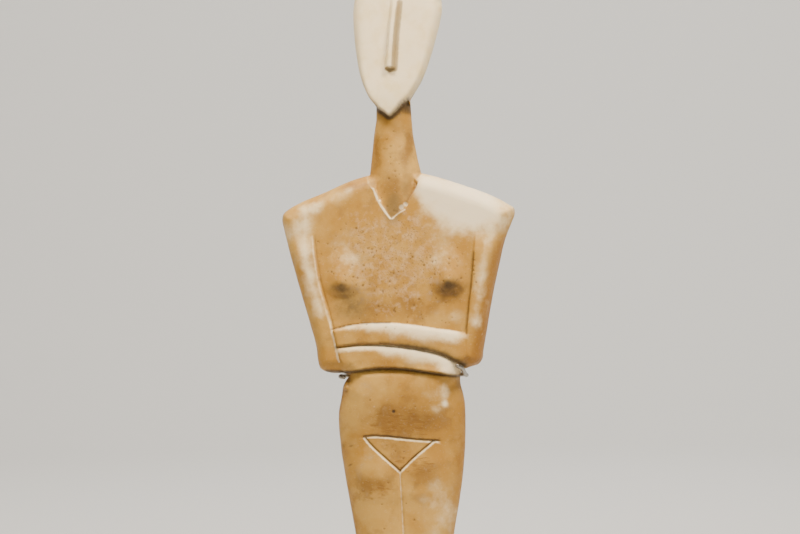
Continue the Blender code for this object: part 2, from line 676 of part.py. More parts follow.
def waist():
    """Left side, right side and back of the figure at the lower face of the cradle's rod."""
    up = ELBOW_UNDERSIDE - (rod_reach() + PRONG_DIAMETER / 2) / SHARE
    ends = np.roll(FIGURE_LOOP, -1, axis=0)
    passes = (FIGURE_LOOP[:, 1] > up) != (ends[:, 1] > up)
    start, end = FIGURE_LOOP[passes], ends[passes]
    across = start[:, 0] + (up - start[:, 1]) * (end[:, 0] - start[:, 0]) / (end[:, 1] - start[:, 1])
    return across.min(), across.max(), at_height(up, BODY_BACK)


def cradle_path():
    """The bent rod from the left prong's tip, round the waist's back, to the right prong's tip.

    Each turn is (across, rise, depth), then how much of the rod's reach it stands off sideways
    and backwards. Across and depth are places on the figure, and the rise is counted from the
    cradle's level.
    """
    left, right, back = waist()
    turns = [
        (left + 1.0, 0.0, -7.5, -0.75, -0.9),
        (left - 1.2, 0.0, -4.0, -1.0, -0.4),
        (left - 1.7, 0.0, 1.0, -1.0, 0.0),
        (left - 0.5, 0.0, 5.5, -0.9, 0.5),
        (left + 5.5, 0.0, back - 1.2, -0.5, 0.9),
        (left / 2, 0.0, back, 0.0, 1.0),
        (0.0, 0.0, back, 0.0, 1.0),
        (right / 2, 0.0, back, 0.0, 1.0),
        (right - 6.2, 0.0, back - 1.2, 0.5, 0.9),
        (right + 0.3, 0.0, 5.5, 0.9, 0.5),
        (right + 1.5, 0.0, 1.0, 1.0, 0.0),
        (right + 1.2, 0.9, -4.0, 1.0, -0.3),
        (right + 1.1, 2.9, -9.0, 0.9, -0.6),
        (right + 0.7, 4.7, -12.8, 0.6, -0.9),
        (right - 1.0, 5.9, -14.8, 0.2, -1.1),
    ]
    points = []
    for across, rise, depth, out, behind in turns:
        place = figure_point(across, 0, depth)
        level = cradle_level() + rise * SHARE
        points.append((place.x + out * rod_reach(), place.y + behind * rod_reach(), level))
    return smooth_line(points, CRADLE_STEP)


def post_centre():
    """Where the post stands, clear of the seat, which is the figure's deepest part at the back."""
    deepest = max(depth for _, depth in BODY_BACK)
    return figure_point(0, 0, deepest).y + POST_CLEARANCE + POST_DIAMETER / 2


def make_mount():
    """The post, bent forward at its top, with the shapes of the cradle and the collar."""
    steel = make_material("brushed_steel", (0.34, 0.33, 0.31), 0.35, 1.0)
    depth = post_centre()
    bend = depth - figure_point(0, 0, waist()[2]).y - rod_reach()
    top = cradle_level()
    arc = [(0, depth - bend * (1 - math.cos(a)), top - bend + bend * math.sin(a))
           for a in np.linspace(0, math.pi / 2, BEND_STEPS)]
    mount = rod("mount", [(0, depth, BASE_HEIGHT - POST_SET_DEPTH)] + arc, POST_DIAMETER)
    cradle = rod("cradle_shape", cradle_path(), PRONG_DIAMETER)
    collar = cylinder("collar_shape", COLLAR_DIAMETER, BASE_HEIGHT + FIT_GAP,
                      BASE_HEIGHT + FIT_GAP + COLLAR_HEIGHT, (0, depth))
    mount.data.materials.append(steel)
    return mount, cradle, collar


def make_base():
    """The block with eased edges and the hole that the post stands in."""
    stone = make_material("honed_basalt", (0.035, 0.034, 0.033), 0.55)
    mesh = bpy.data.meshes.new("base")
    shape = bmesh.new()
    bmesh.ops.create_cube(shape, size=1)
    bmesh.ops.scale(shape, vec=(BASE_WIDTH, BASE_DEPTH, BASE_HEIGHT), verts=shape.verts)
    bmesh.ops.translate(shape, vec=(0, 0, BASE_HEIGHT / 2), verts=shape.verts)
    bmesh.ops.bevel(shape, geom=shape.edges[:], offset=BASE_BEVEL, segments=2, affect="EDGES",
                    profile=0.5)
    shape.to_mesh(mesh)
    shape.free()
    base = add_object("base", mesh, stone)
    bore = cylinder("post_hole", POST_DIAMETER + 2 * FIT_GAP, BASE_HEIGHT - POST_SET_DEPTH - FIT_GAP,
                    2 * BASE_HEIGHT, (0, post_centre()))
    boolean(base, bore, "DIFFERENCE")
    return base


def as_mesh(thing):
    """Turns a curve object into a mesh object with the same name."""
    graph = bpy.context.evaluated_depsgraph_get()
    mesh = bpy.data.meshes.new_from_object(thing.evaluated_get(graph))
    name = thing.name
    bpy.data.objects.remove(thing)
    solid = bpy.data.objects.new(name, mesh)
    bpy.context.scene.collection.objects.link(solid)
    return solid


def main():
    for thing in list(bpy.data.objects):
        bpy.data.objects.remove(thing)
    marble = make_material("island_marble", (0.56, 0.38, 0.19), 0.5)
    add_object("figurine", figure_mesh("figurine"), marble)
    mount, cradle, collar = make_mount()
    mount = as_mesh(mount)
    cradle = as_mesh(cradle)
    boolean(mount, cradle, "UNION")
    boolean(mount, collar, "UNION")
    mount.data.shade_smooth()
    mount.data.set_sharp_from_angle(angle=math.radians(40))
    make_base()


main()
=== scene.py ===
# %% [markdown]
# # A folded-arm figurine of island marble, held up by a steel rod mount
#
# The real figure is one thin slab of fine white marble. It was shaped with stone tools and rubbed
# smooth with sand, so its front is nearly flat, its edges are soft and all its carving is shallow.
# Burial turned most of it honey brown, and left the head and one shoulder pale.
#
# This script loads the plain solids first. Then it makes a finer skin for the figure and the
# mount, builds their finishes, and sets up a floor, soft lamps and a camera.

# %% Load the plain solids and keep their box
import math

import bmesh
import bpy
import numpy as np
from mathutils import Matrix, Vector, noise
from mathutils.geometry import delaunay_2d_cdt
from mathutils.kdtree import KDTree


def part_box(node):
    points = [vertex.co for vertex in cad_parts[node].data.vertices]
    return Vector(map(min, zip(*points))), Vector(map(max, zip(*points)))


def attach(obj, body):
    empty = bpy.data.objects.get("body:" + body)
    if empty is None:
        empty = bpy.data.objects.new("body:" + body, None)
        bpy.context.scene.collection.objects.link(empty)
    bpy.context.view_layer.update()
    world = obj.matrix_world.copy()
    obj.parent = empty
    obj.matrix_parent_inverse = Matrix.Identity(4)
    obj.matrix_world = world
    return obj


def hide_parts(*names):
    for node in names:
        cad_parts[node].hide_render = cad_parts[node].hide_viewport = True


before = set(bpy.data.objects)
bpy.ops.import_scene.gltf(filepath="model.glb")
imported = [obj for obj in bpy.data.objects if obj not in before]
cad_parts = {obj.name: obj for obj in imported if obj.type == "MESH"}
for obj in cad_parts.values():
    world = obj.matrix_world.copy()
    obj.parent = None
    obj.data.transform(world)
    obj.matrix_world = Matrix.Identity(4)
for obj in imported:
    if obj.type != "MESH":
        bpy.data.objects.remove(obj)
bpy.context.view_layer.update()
print("Solids:", sorted(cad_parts))

# %% [markdown]
# ## The figure's own ruler
#
# A carver marks a figure out as shares of its height. The same is done here: places on the figure
# are written in drawn millimetres, at which it is 410 high. Its real height and the level of its
# toes come from the solid, so the skin stays on the solid if the size changes.

# %% From drawn millimetres to metres
DRAWN_HEIGHT = 410.0
figure_low, figure_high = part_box("figurine")
SHARE = (figure_high.z - figure_low.z) / DRAWN_HEIGHT
FIGURE_FLOOR = figure_low.z
MILLIMETRE = 0.001


def figure_point(across, up, depth):
    """A place on the figure, given in its drawn millimetres, in metres."""
    return Vector((across * SHARE, depth * SHARE, up * SHARE + FIGURE_FLOOR))


print(f"The figure is {DRAWN_HEIGHT * SHARE:.3f} m high and stands at {FIGURE_FLOOR:.4f} m")

# %% [markdown]
# ## Outline
#
# Seen from the front, the whole outline is one closed line. It is written as runs of points that
# meet at the figure's corners (jaw, neck, elbows), and a smooth curve is laid through each run.

# %% Outline of the front view, as (across, up)
HEAD_RIGHT_TO_LEFT = [
    (5.4, 343.6), (8.9, 348.75), (12.3, 354.75), (15.7, 364.0), (18.2, 373.25), (20.4, 382.5),
    (21.5, 389.75), (20.2, 398.0), (15.4, 405.0), (8.0, 409.0), (-1.5, 410.0), (-11.5, 408.5),
    (-18.5, 404.5), (-22.4, 397.5), (-23.4, 391.0), (-23.3, 383.75), (-22.4, 374.5), (-21.0, 365.0),
    (-18.9, 355.75), (-16.5, 349.5), (-13.0, 343.25), (-11.5, 341.6),
]
JAW = [
    (-11.5, 341.6), (-9.25, 339.25), (-6.25, 337.0), (-3.75, 335.25), (-1.25, 337.0), (1.25, 339.75),
    (5.4, 343.6),
]
NECK_LEFT = [
    (-11.5, 341.6), (-11.75, 334.0), (-13.0, 326.5), (-13.75, 319.25), (-14.5, 313.25), (-15.25, 306.75),
]
NECK_RIGHT = [(10.5, 307.25), (9.2, 312.75), (8.0, 319.0), (6.7, 326.0), (6.0, 333.75), (5.4, 343.6)]
BODY_LEFT = [
    (-15.25, 306.75), (-23.25, 304.5), (-37.5, 298.75), (-51.5, 293.0), (-56.25, 290.5), (-59.5, 287.75),
    (-60.0, 285.0), (-59.25, 281.0), (-53.0, 256.75), (-46.25, 232.5), (-43.25, 220.5), (-42.5, 213.75),
    (-41.25, 210.25), (-38.5, 208.5), (-34.0, 207.75), (-29.5, 207.75), (-26.75, 206.75),
]
HIPS_AND_LEGS = [
    (-26.75, 206.75), (-28.25, 204.75), (-29.75, 202.25), (-31.0, 196.25), (-32.5, 189.25),
    (-32.75, 182.0), (-32.25, 173.0), (-29.5, 153.0), (-25.25, 128.0), (-19.5, 84.5), (-18.75, 66.25),
    (-19.0, 48.5), (-16.5, 30.75), (-12.75, 19.5), (-13.75, 12.5), (-13.5, 5.0), (-11.0, 0.75),
    (-6.5, 0.0), (-2.0, 0.6), (0.0, 4.0), (2.0, 0.6), (7.0, 0.0), (12.0, 0.75), (14.5, 5.0),
    (14.75, 12.5), (13.0, 19.5), (15.75, 31.25), (18.5, 49.0), (19.5, 66.75), (20.75, 84.75),
    (24.5, 128.0), (27.5, 145.0), (30.0, 163.75), (31.0, 186.75), (30.75, 192.75), (29.75, 198.0),
    (29.0, 200.75), (28.6, 203.5), (28.75, 206.25), (29.25, 208.75),
]
ARM_RIGHT = [
    (29.25, 208.75), (34.5, 210.5), (38.0, 211.75), (39.75, 214.0), (40.5, 218.5), (41.75, 225.5),
    (46.25, 249.25), (49.0, 261.25), (52.0, 273.25), (55.5, 282.0), (57.0, 286.0), (56.75, 288.75),
    (53.5, 291.0), (48.25, 294.0), (33.0, 300.25), (16.0, 305.75), (10.5, 307.25),
]

# %% A smooth curve through a run of points
def curve_step(share, step, start, end, start_slope, end_slope):
    """Value at a share of one step of a curve, from the values and slopes at its two ends."""
    return (
        (2 * share**3 - 3 * share**2 + 1) * start
        + (share**3 - 2 * share**2 + share) * step * start_slope
        + (3 * share**2 - 2 * share**3) * end
        + (share**3 - share**2) * step * end_slope
    )


def smooth_line(points, spacing):
    """Points along a smooth curve through the given ones, at most one spacing apart."""
    points = np.array(points, float)
    steps = np.linalg.norm(np.diff(points, axis=0), axis=1)
    slopes = np.diff(points, axis=0) / steps[:, None]
    shares = (steps[:-1] / (steps[1:] + steps[:-1]))[:, None]
    inner = slopes[1:] * shares + slopes[:-1] * (1 - shares)
    tangents = np.vstack([slopes[:1], inner, slopes[-1:]])
    line = [points[0]]
    for i, step in enumerate(steps):
        count = max(1, math.ceil(step / spacing))
        for k in range(1, count + 1):
            ends = points[i], points[i + 1], tangents[i], tangents[i + 1]
            line.append(curve_step(k / count, step, *ends))
    return np.array(line)


def joined(runs, spacing):
    """One closed loop from runs that each start where the last one ends."""
    return np.vstack([smooth_line(run, spacing)[:-1] for run in runs])


# %% [markdown]
# ## Carved lines
#
# The front has few lines, and each one is a real cut: the V of the neckline, the edges of the
# arms, three lines for the crossed forearms, the triangle and the cleft between the legs.
# Drawing them as curves first lets both the depth of the cut and the mesh follow them.

# %% Lines of the carving on the front
NECKLINE = [
    (-15.25, 306.75), (-12.0, 299.75), (-9.0, 292.75), (-6.0, 288.0), (-3.5, 284.75), (0.0, 287.5),
    (3.0, 289.25), (6.5, 295.5), (9.5, 301.5), (10.5, 307.25),
]
LEFT_ARM_EDGE = [
    (-42.75, 276.5), (-42.0, 268.5), (-39.9, 254.5), (-34.4, 233.75), (-31.9, 222.25), (-30.0, 214.0),
]
LEFT_ARM_END = (-28.0, 206.0)
RIGHT_ARM_EDGE = [(38.0, 275.25), (37.25, 267.25), (36.0, 253.5), (34.5, 241.25), (33.0, 227.5)]
RIGHT_ARM_END = (31.5, 211.0)
FOREARM_TOP = [(-33.75, 229.75), (-24.75, 231.75), (-4.75, 232.75), (15.25, 230.25), (33.0, 227.5)]
FOREARM_MIDDLE = [
    (-31.5, 220.75), (-19.75, 222.0), (-9.75, 222.0), (0.25, 221.0), (10.0, 219.5), (20.0, 217.0),
    (31.25, 211.0),
]
FOREARM_BOTTOM = [
    (-37.5, 209.0), (-27.5, 208.5), (-10.0, 210.25), (0.0, 210.0), (10.0, 208.75), (29.75, 205.75),
]
TRIANGLE_TOP = [
    (-18.75, 176.5), (-14.5, 177.0), (-8.0, 176.75), (-0.5, 176.0), (9.25, 175.0), (18.25, 174.5),
]
TRIANGLE_LEFT = [(-18.0, 176.0), (-14.75, 172.25), (-8.25, 166.25), (-0.75, 159.75)]
TRIANGLE_RIGHT = [(16.5, 174.75), (14.25, 173.0), (7.25, 167.25), (-0.75, 159.75)]
LEG_CLEFT = [(-0.9, 159.5), (-0.5, 150.5), (0.2, 130.0), (0.2, 84.0), (0.0, 40.0), (0.0, 6.0)]
NOSE = [(-3.25, 359.0), (-2.4, 378.0), (-1.3, 393.0), (-0.9, 399.0)]
SPINE = [(-0.5, 300.0), (-0.5, 240.0), (-0.5, 175.0), (-0.2, 150.0)]
LEFT_BREAST = (-28.5, 253.0)
RIGHT_BREAST = (24.75, 253.25)

# %% Closed loops of the whole figure and of its parts
FORM_STEP = 1.2
FIGURE_RUNS = [HEAD_RIGHT_TO_LEFT, NECK_LEFT, BODY_LEFT, HIPS_AND_LEGS, ARM_RIGHT, NECK_RIGHT]
NECK_CHORD = [NECKLINE[-1], NECKLINE[0]]
HEAD_LOOP = joined([HEAD_RIGHT_TO_LEFT, JAW], FORM_STEP)
FIGURE_LOOP = joined(FIGURE_RUNS, FORM_STEP)
BODY_LOOP = joined([BODY_LEFT, HIPS_AND_LEGS, ARM_RIGHT, NECK_CHORD], FORM_STEP)
NECKLINE_LOOP = joined([NECKLINE, NECK_CHORD], FORM_STEP)
print("Outline:", len(FIGURE_LOOP), "points at form step", FORM_STEP)

# %% [markdown]
# ## Distances
#
# Nearly every form here depends on how far a point is from some line: a groove is deepest on its
# line, and the slab rounds off near its outline. Three small functions answer that for many
# points at once.

# %% Distance to a line, and whether a point is inside a loop
POINTS_AT_ONCE = 1500


def closest(points, line):
    """Distance to a line, positive on its left-hand side and negative on its right."""
    start = line[:-1]
    step = np.diff(line, axis=0)
    square = (step**2).sum(axis=1)
    result = np.empty(len(points))
    for first in range(0, len(points), POINTS_AT_ONCE):
        last = first + POINTS_AT_ONCE
        across = points[first:last, :1] - start[:, 0]
        up = points[first:last, 1:] - start[:, 1]
        part = np.clip((across * step[:, 0] + up * step[:, 1]) / square, 0, 1)
        away = (across - part * step[:, 0]) ** 2 + (up - part * step[:, 1]) ** 2
        nearest = away.argmin(axis=1)
        rows = np.arange(len(nearest))
        turn = step[nearest, 0] * up[rows, nearest] - step[nearest, 1] * across[rows, nearest]
        result[first:last] = np.where(turn >= 0, 1, -1) * np.sqrt(away[rows, nearest])
    return result


def inside(points, loop):
    """Whether each point lies inside a closed loop."""
    start, end = loop, np.roll(loop, -1, axis=0)
    rise = np.where(end[:, 1] == start[:, 1], 1, end[:, 1] - start[:, 1])
    slope = (end[:, 0] - start[:, 0]) / rise
    result = np.empty(len(points), bool)
    for first in range(0, len(points), POINTS_AT_ONCE):
        last = first + POINTS_AT_ONCE
        across, up = points[first:last, :1], points[first:last, 1:]
        passes = (start[:, 1] > up) != (end[:, 1] > up)
        crossing = start[:, 0] + (up - start[:, 1]) * slope
        result[first:last] = (passes & (across < crossing)).sum(axis=1) % 2 == 1
    return result


def depth_inside(points, loop):
    """How deep inside a closed loop each point lies, 0 outside it."""
    result = np.zeros(len(points))
    within = inside(points, loop)
    result[within] = np.abs(closest(points[within], np.vstack([loop, loop[:1]])))
    return result


# %% [markdown]
# ## Depths
#
# From the side the figure is a shallow S: chest flat, belly and buttocks a little full, knees
# bent, toes pointing down, head tipped back. A table gives each depth at a few heights, and a
# curve that never overshoots reads it at every height between.

# %% Depths by height, as (up, towards the viewer) and (up, towards the back)
BODY_MIDDLE = [
    (0, -15.0), (5, -11.0), (10, -4.0), (18, 0.0), (30, 2.0), (60, 1.0), (88, -4.0), (120, 0.0),
    (160, 1.0), (190, 0.0), (300, 0.5), (410, 0.5),
]
BODY_FRONT = [
    (0, 17.0), (3, 19.0), (8, 16.0), (16, 10.0), (24, 8.0), (36, 8.5), (52, 9.5), (70, 12.5), (88, 15.5),
    (106, 14.5), (130, 12.8), (142, 12.4), (150, 12.9), (158, 12.9), (172, 11.7), (182, 12.3),
    (193, 13.3), (201, 13.4), (206, 13.0), (212, 11.0), (245, 10.8), (280, 10.5), (300, 10.0), (410, 10.0),
]
BODY_BACK = [
    (0, -12.5), (4, -7.0), (9, 1.0), (14, 8.0), (20, 8.5), (38, 12.0), (60, 13.0), (88, 9.0), (120, 12.5),
    (145, 14.0), (165, 15.5), (190, 12.0), (208, 9.8), (240, 10.5), (280, 10.0), (300, 9.0), (410, 9.0),
]
BODY_ROUNDING = [(0, 5), (20, 11), (60, 18), (150, 21), (190, 18), (202, 12), (210, 7.5), (410, 7.5)]
HEAD_MIDDLE = [(330, -7.0), (337, -6.0), (345, -4.5), (360, 0.0), (380, 5.5), (400, 11.0), (410, 14.0)]
HEAD_ROUNDING = [(330, 1.0), (345, 1.5), (360, 3.0), (375, 5.5), (395, 8.0), (410, 9.0)]
HEAD_FRONT_DEPTH = 7.0
HEAD_BACK_DEPTH = 9.0
NECK_MIDDLE = [(300, 0.5), (335, 1.5), (410, 1.5)]
NECK_DEPTH = 9.5


def at_height(up, table):
    """Value of a table of (height, value) at each height, along a curve that never overshoots."""
    heights, values = np.array(table, float).T
    steps = np.diff(heights)
    rises = np.diff(values) / steps
    turns = rises[1:] * rises[:-1]
    totals = np.where(turns > 0, rises[1:] + rises[:-1], 1)
    slopes = np.concatenate([rises[:1], np.where(turns > 0, 2 * turns / totals, 0), rises[-1:]])
    row = np.clip(np.searchsorted(heights, up) - 1, 0, len(steps) - 1)
    step = steps[row]
    part = np.clip((up - heights[row]) / step, 0, 1)
    return curve_step(part, step, values[row], values[row + 1], slopes[row], slopes[row + 1])


def ease(value):
    """Smooth step from 0 to 1."""
    value = np.clip(value, 0, 1)
    return value * value * (3 - 2 * value)


def rounded(value):
    """Quarter of an ellipse: 0 at an edge, 1 from its full width on."""
    return np.sqrt(1 - (1 - np.clip(value, 0, 1)) ** 2)


# %% [markdown]
# ## Arms, breasts and grooves
#
# The upper arms are raised from the chest by less than two millimetres, the forearms by three.
# Each forearm has a long bevel on top and a short steep lip below, which catch light and shadow as
# two bright and two dark lines. Breasts are low cones, steeper underneath. Grooves are V cuts from
# a sharp stone edge.

# %% Upper arms and forearms
ARM_HEIGHT = 1.8
ARM_WALL = 0.9
ARM_FADE = (278.0, 266.0)
ARM_FOOT = 200.0
FOREARM_LEVEL = 1.0
FOREARM_HEIGHT = 2.1
FOREARM_LEDGE = 1.2
FOREARM_FOOT = 0.8
FOREARM_BEVEL = [(-34.0, 1.0), (-24.0, 2.4), (-4.0, 5.6), (30.0, 6.6)]
FOREARM_LIP = 1.9
HAND_FADE = (28.0, 37.0)


def between(value, start, end):
    """0 before a start, 1 past an end, eased between them."""
    return ease((value - start) / (end - start))


def arms(points):
    """Upper arms and crossed forearms, raised from the chest."""
    across, up = points.T
    left_out = -closest(points, smooth_line(LEFT_ARM_EDGE + [LEFT_ARM_END], FORM_STEP))
    right_out = closest(points, smooth_line(RIGHT_ARM_EDGE + [RIGHT_ARM_END], FORM_STEP))
    outside = np.maximum(ease(0.5 + left_out / ARM_WALL), ease(0.5 + right_out / ARM_WALL))
    upper = ARM_HEIGHT * between(up, *ARM_FADE) * outside * (up > ARM_FOOT)
    below_top = -closest(points, smooth_line(FOREARM_TOP, FORM_STEP))
    above_middle = closest(points, smooth_line(FOREARM_MIDDLE, FORM_STEP))
    above_bottom = closest(points, smooth_line(FOREARM_BOTTOM, FORM_STEP))
    bevel = at_height(across, FOREARM_BEVEL)
    first = rounded(below_top / bevel) * rounded(above_middle / FOREARM_LIP)
    second = rounded(-above_middle / bevel) * rounded(above_bottom / FOREARM_LIP)
    level = FOREARM_LEVEL * rounded(below_top / FOREARM_LEDGE) * rounded(above_bottom / FOREARM_FOOT)
    between_arms = ease(0.5 - left_out / ARM_WALL) * (1 - between(across, *HAND_FADE))
    lower = between_arms * (level + FOREARM_HEIGHT * np.maximum(first, second))
    return np.maximum(upper, np.where((below_top > 0) & (above_bottom > 0), lower, 0))


# %% Breasts
BREAST_HEIGHT = 4.2
BREAST_HALF_WIDTH = 10.5
BREAST_ABOVE = 18.0
BREAST_BELOW = 8.0
BREAST_TIP = 0.1
BREAST_POWER = 1.25


def breast(points, centre):
    """A low cone with a long slope above its tip and a short one below."""
    across = (points[:, 0] - centre[0]) / BREAST_HALF_WIDTH
    up = points[:, 1] - centre[1]
    distance = np.hypot(across, np.where(up > 0, up / BREAST_ABOVE, up / BREAST_BELOW))
    cone = np.clip(1 - np.hypot(distance, BREAST_TIP), 0, 1)
    return BREAST_HEIGHT * cone**BREAST_POWER


# %% Grooves, from (line, half width, depth)
GROOVE_HALF_WIDTH = 0.9
GROOVE_DEPTH = 0.8
FRONT_GROOVES = [
    (LEFT_ARM_EDGE[2:], 0.9, 0.7),
    (RIGHT_ARM_EDGE[1:], 0.9, 0.5),
    (FOREARM_BOTTOM[1:], 1.1, 0.5),
    (TRIANGLE_TOP, GROOVE_HALF_WIDTH, GROOVE_DEPTH),
    (TRIANGLE_LEFT, GROOVE_HALF_WIDTH, GROOVE_DEPTH),
    (TRIANGLE_RIGHT, GROOVE_HALF_WIDTH, GROOVE_DEPTH),
]
CLEFT_HALF_WIDTH = [(0, 2.2), (40, 2.2), (120, 1.2), (160, 0.9), (410, 0.9)]
CLEFT_DEPTH = [(0, 3.0), (40, 3.0), (120, 1.2), (160, 0.8), (410, 0.8)]
SPINE_GROOVE = (SPINE, 3.5, 1.2)
BACK_CLEFT = (LEG_CLEFT, 2.2, 2.0)


def groove(points, line, half_width, depth):
    """Depth of a V-shaped groove along a line."""
    away = np.abs(closest(points, smooth_line(line, FORM_STEP)))
    return depth * np.clip(1 - away / half_width, 0, 1)


def carving(points):
    """All low relief on the body's front, positive towards the viewer."""
    up = points[:, 1]
    relief = arms(points) + np.maximum(breast(points, LEFT_BREAST), breast(points, RIGHT_BREAST))
    for line, half_width, depth in FRONT_GROOVES:
        relief -= groove(points, line, half_width, depth)
    cleft = groove(points, LEG_CLEFT, at_height(up, CLEFT_HALF_WIDTH), at_height(up, CLEFT_DEPTH))
    return relief - cleft


# %% [markdown]
# ## Front and back
#
# The front is the body with its carving, cut through at the V by a steep wall down to the round
# neck, and with the leaning face in front of it all. The back is body, neck and head melted into
# one another, because the carver rubbed those joins soft.

# %% Neck, neckline and nose
NECK_LEFT_FOOT = (-16.5, 284.0)
NECK_RIGHT_FOOT = (12.0, 284.0)
NECK_FULLER_BELOW = 0.8
NECK_FULLER = (300.0, 285.0)
NECKLINE_WALL = 0.6
NOSE_HEIGHT = [(356, 3.8), (375, 3.6), (390, 2.2), (400, 0.0), (410, 0.0)]
NOSE_HALF_WIDTH = 2.7
NOSE_FLANK = 0.6
NOSE_END = 0.7


def side_at(up, line):
    """How far across a line lies at each height."""
    across, heights = np.array(sorted(line, key=lambda point: point[1])).T
    return np.interp(up, heights, across)


def neck_roundness(points):
    """1 along the neck's middle line, falling to 0 at its sides."""
    left = side_at(points[:, 1], NECK_LEFT + [NECK_LEFT_FOOT])
    right = side_at(points[:, 1], NECK_RIGHT + [NECK_RIGHT_FOOT])
    offset = (2 * points[:, 0] - left - right) / (right - left)
    return np.sqrt(np.clip(1 - offset**2, 0, 1))


def neckline_opening(points):
    """1 inside the V of the neckline, 0 outside it, with a steep wall between them."""
    side = np.where(inside(points, NECKLINE_LOOP), 1, -1)
    away = np.abs(closest(points, smooth_line(NECKLINE, FORM_STEP)))
    return ease(0.5 + side * away / NECKLINE_WALL)


def nose(points):
    """The nose, a wedge that grows from the forehead and ends in a square cut."""
    away = np.abs(closest(points, smooth_line(NOSE, FORM_STEP))) / NOSE_HALF_WIDTH
    section = np.clip((1 - away) / NOSE_FLANK, 0, 1)
    end = ease((points[:, 1] - NOSE[0][1]) / NOSE_END)
    return at_height(points[:, 1], NOSE_HEIGHT) * section * end


# %% Depth of the front
CHIN_FADE = (341.0, 350.0)
FAR_BEHIND = 50.0


def front_depth(points):
    """Y of the front surface, in drawn millimetres."""
    up = points[:, 1]
    middle = at_height(up, BODY_MIDDLE)
    in_body = depth_inside(points, BODY_LOOP)
    edge = rounded(in_body / at_height(up, BODY_ROUNDING))
    body = middle - (at_height(up, BODY_FRONT) + middle) * edge - carving(points) * ease(2 * edge)
    fuller = NECK_FULLER_BELOW * between(up, *NECK_FULLER)
    neck = at_height(up, NECK_MIDDLE) - (NECK_DEPTH + fuller) * neck_roundness(points)
    opening = np.where(in_body > 0, neckline_opening(points), 1)
    trunk = body * (1 - opening) + neck * opening
    in_head = depth_inside(points, HEAD_LOOP)
    full = rounded(in_head / at_height(up, HEAD_ROUNDING))
    face = at_height(up, HEAD_MIDDLE) - HEAD_FRONT_DEPTH * full - nose(points)
    behind_face = trunk + FAR_BEHIND * between(up, *CHIN_FADE)
    return np.where(in_head > 0, np.minimum(face, behind_face), trunk)


# %% Depth of the back and of the outline
BACK_ROUNDER = 1.5
BACK_MELT = 2.5
MELT_FADE = 3.0
NECK_FADE = (343.0, 372.0)
JAW_MARGIN = 0.1


def back_depth(points):
    """Y of the back surface: body, neck and head, melted into one another."""
    up = points[:, 1]
    middle = at_height(up, BODY_MIDDLE)
    in_body = depth_inside(points, BODY_LOOP)
    edge = rounded(in_body / (at_height(up, BODY_ROUNDING) + BACK_ROUNDER))
    body = middle + (at_height(up, BODY_BACK) - middle) * edge
    body = body - groove(points, *SPINE_GROOVE) * ease(2 * edge) - groove(points, *BACK_CLEFT)
    fading = 1 - between(up, *NECK_FADE)
    neck = at_height(up, NECK_MIDDLE) + NECK_DEPTH * neck_roundness(points) * fading
    in_head = depth_inside(points, HEAD_LOOP)
    full = rounded(in_head / (at_height(up, HEAD_ROUNDING) + 2 * BACK_ROUNDER))
    head = at_height(up, HEAD_MIDDLE) + HEAD_BACK_DEPTH * full
    sheets = [
        np.where(in_body > 0, body, -FAR_BEHIND),
        np.where(up > min(NECKLINE, key=lambda point: point[1])[1], neck, -FAR_BEHIND),
        np.where(in_head > 0, head, -FAR_BEHIND),
    ]
    highest = np.max(sheets, axis=0)
    total = sum(np.exp((sheet - highest) / BACK_MELT) for sheet in sheets)
    near_rim = ease(depth_inside(points, FIGURE_LOOP) / MELT_FADE)
    return highest + BACK_MELT * np.log(total) * near_rim


def rim_depth(points):
    """Y of the outline itself, where front and back meet."""
    up = points[:, 1]
    trunk = np.where(up > NECKLINE[0][1], at_height(up, NECK_MIDDLE), at_height(up, BODY_MIDDLE))
    return np.where(up > JAW[0][1] - JAW_MARGIN, at_height(up, HEAD_MIDDLE), trunk)


belly = np.array([(0.0, 190.0)])
print(f"Belly from {front_depth(belly)[0]:.1f} to {back_depth(belly)[0]:.1f} drawn mm")


# %% [markdown]
# ## Where the mesh points go
#
# A grid of points alone would blur every cut. So points are first laid along the carved lines,
# then in rings along the outline, close together where the slab rounds off, and only then in an
# even triangular grid. A constrained triangulation joins them all.

# %% Lines that the facets follow
FRONT_SPACING = 0.6
BACK_SPACING = 1.3
LINE_SPACING = 0.55

# Distances of the facet lines from each carved line, closest where the surface turns fastest
GROOVE_OFFSETS = [GROOVE_HALF_WIDTH * share for share in (-1, -0.5, 0, 0.5, 1)]
NOSE_OFFSETS = [NOSE_HALF_WIDTH * share for share in (-1, -0.7, -1 + NOSE_FLANK, 1 - NOSE_FLANK, 0.7, 1)]
FACET_LINES = [
    (NECKLINE[1:-1], (-NECKLINE_WALL / 2 - 0.3, -NECKLINE_WALL / 2, 0.0, NECKLINE_WALL / 2)),
    (JAW[1:-1], (-0.5, 0.1, 0.5, 1.0, 1.6)),
    (LEFT_ARM_EDGE, GROOVE_OFFSETS),
    (RIGHT_ARM_EDGE, GROOVE_OFFSETS),
    (FOREARM_TOP, (0.0, -0.4, -1.0, -2.0)),
    (FOREARM_MIDDLE, (1.5, 0.8, 0.3, 0.0, -0.4, -1.0, -2.0)),
    (FOREARM_BOTTOM, (-1.1, -0.5, 0.0, 0.4, 0.9, 1.6)),
    (TRIANGLE_TOP, GROOVE_OFFSETS),
    (TRIANGLE_LEFT, GROOVE_OFFSETS),
    (TRIANGLE_RIGHT, GROOVE_OFFSETS),
    (LEG_CLEFT, (-1.0, -0.5, 0.0, 0.5, 1.0)),
    (NOSE, NOSE_OFFSETS),
]


def unit(vectors):
    """The same directions, each of length 1."""
    return vectors / np.linalg.norm(vectors, axis=1)[:, None]


def left_of(along):
    """Directions a quarter turn to the left of the given ones."""
    return np.stack([-along[:, 1], along[:, 0]], axis=1)


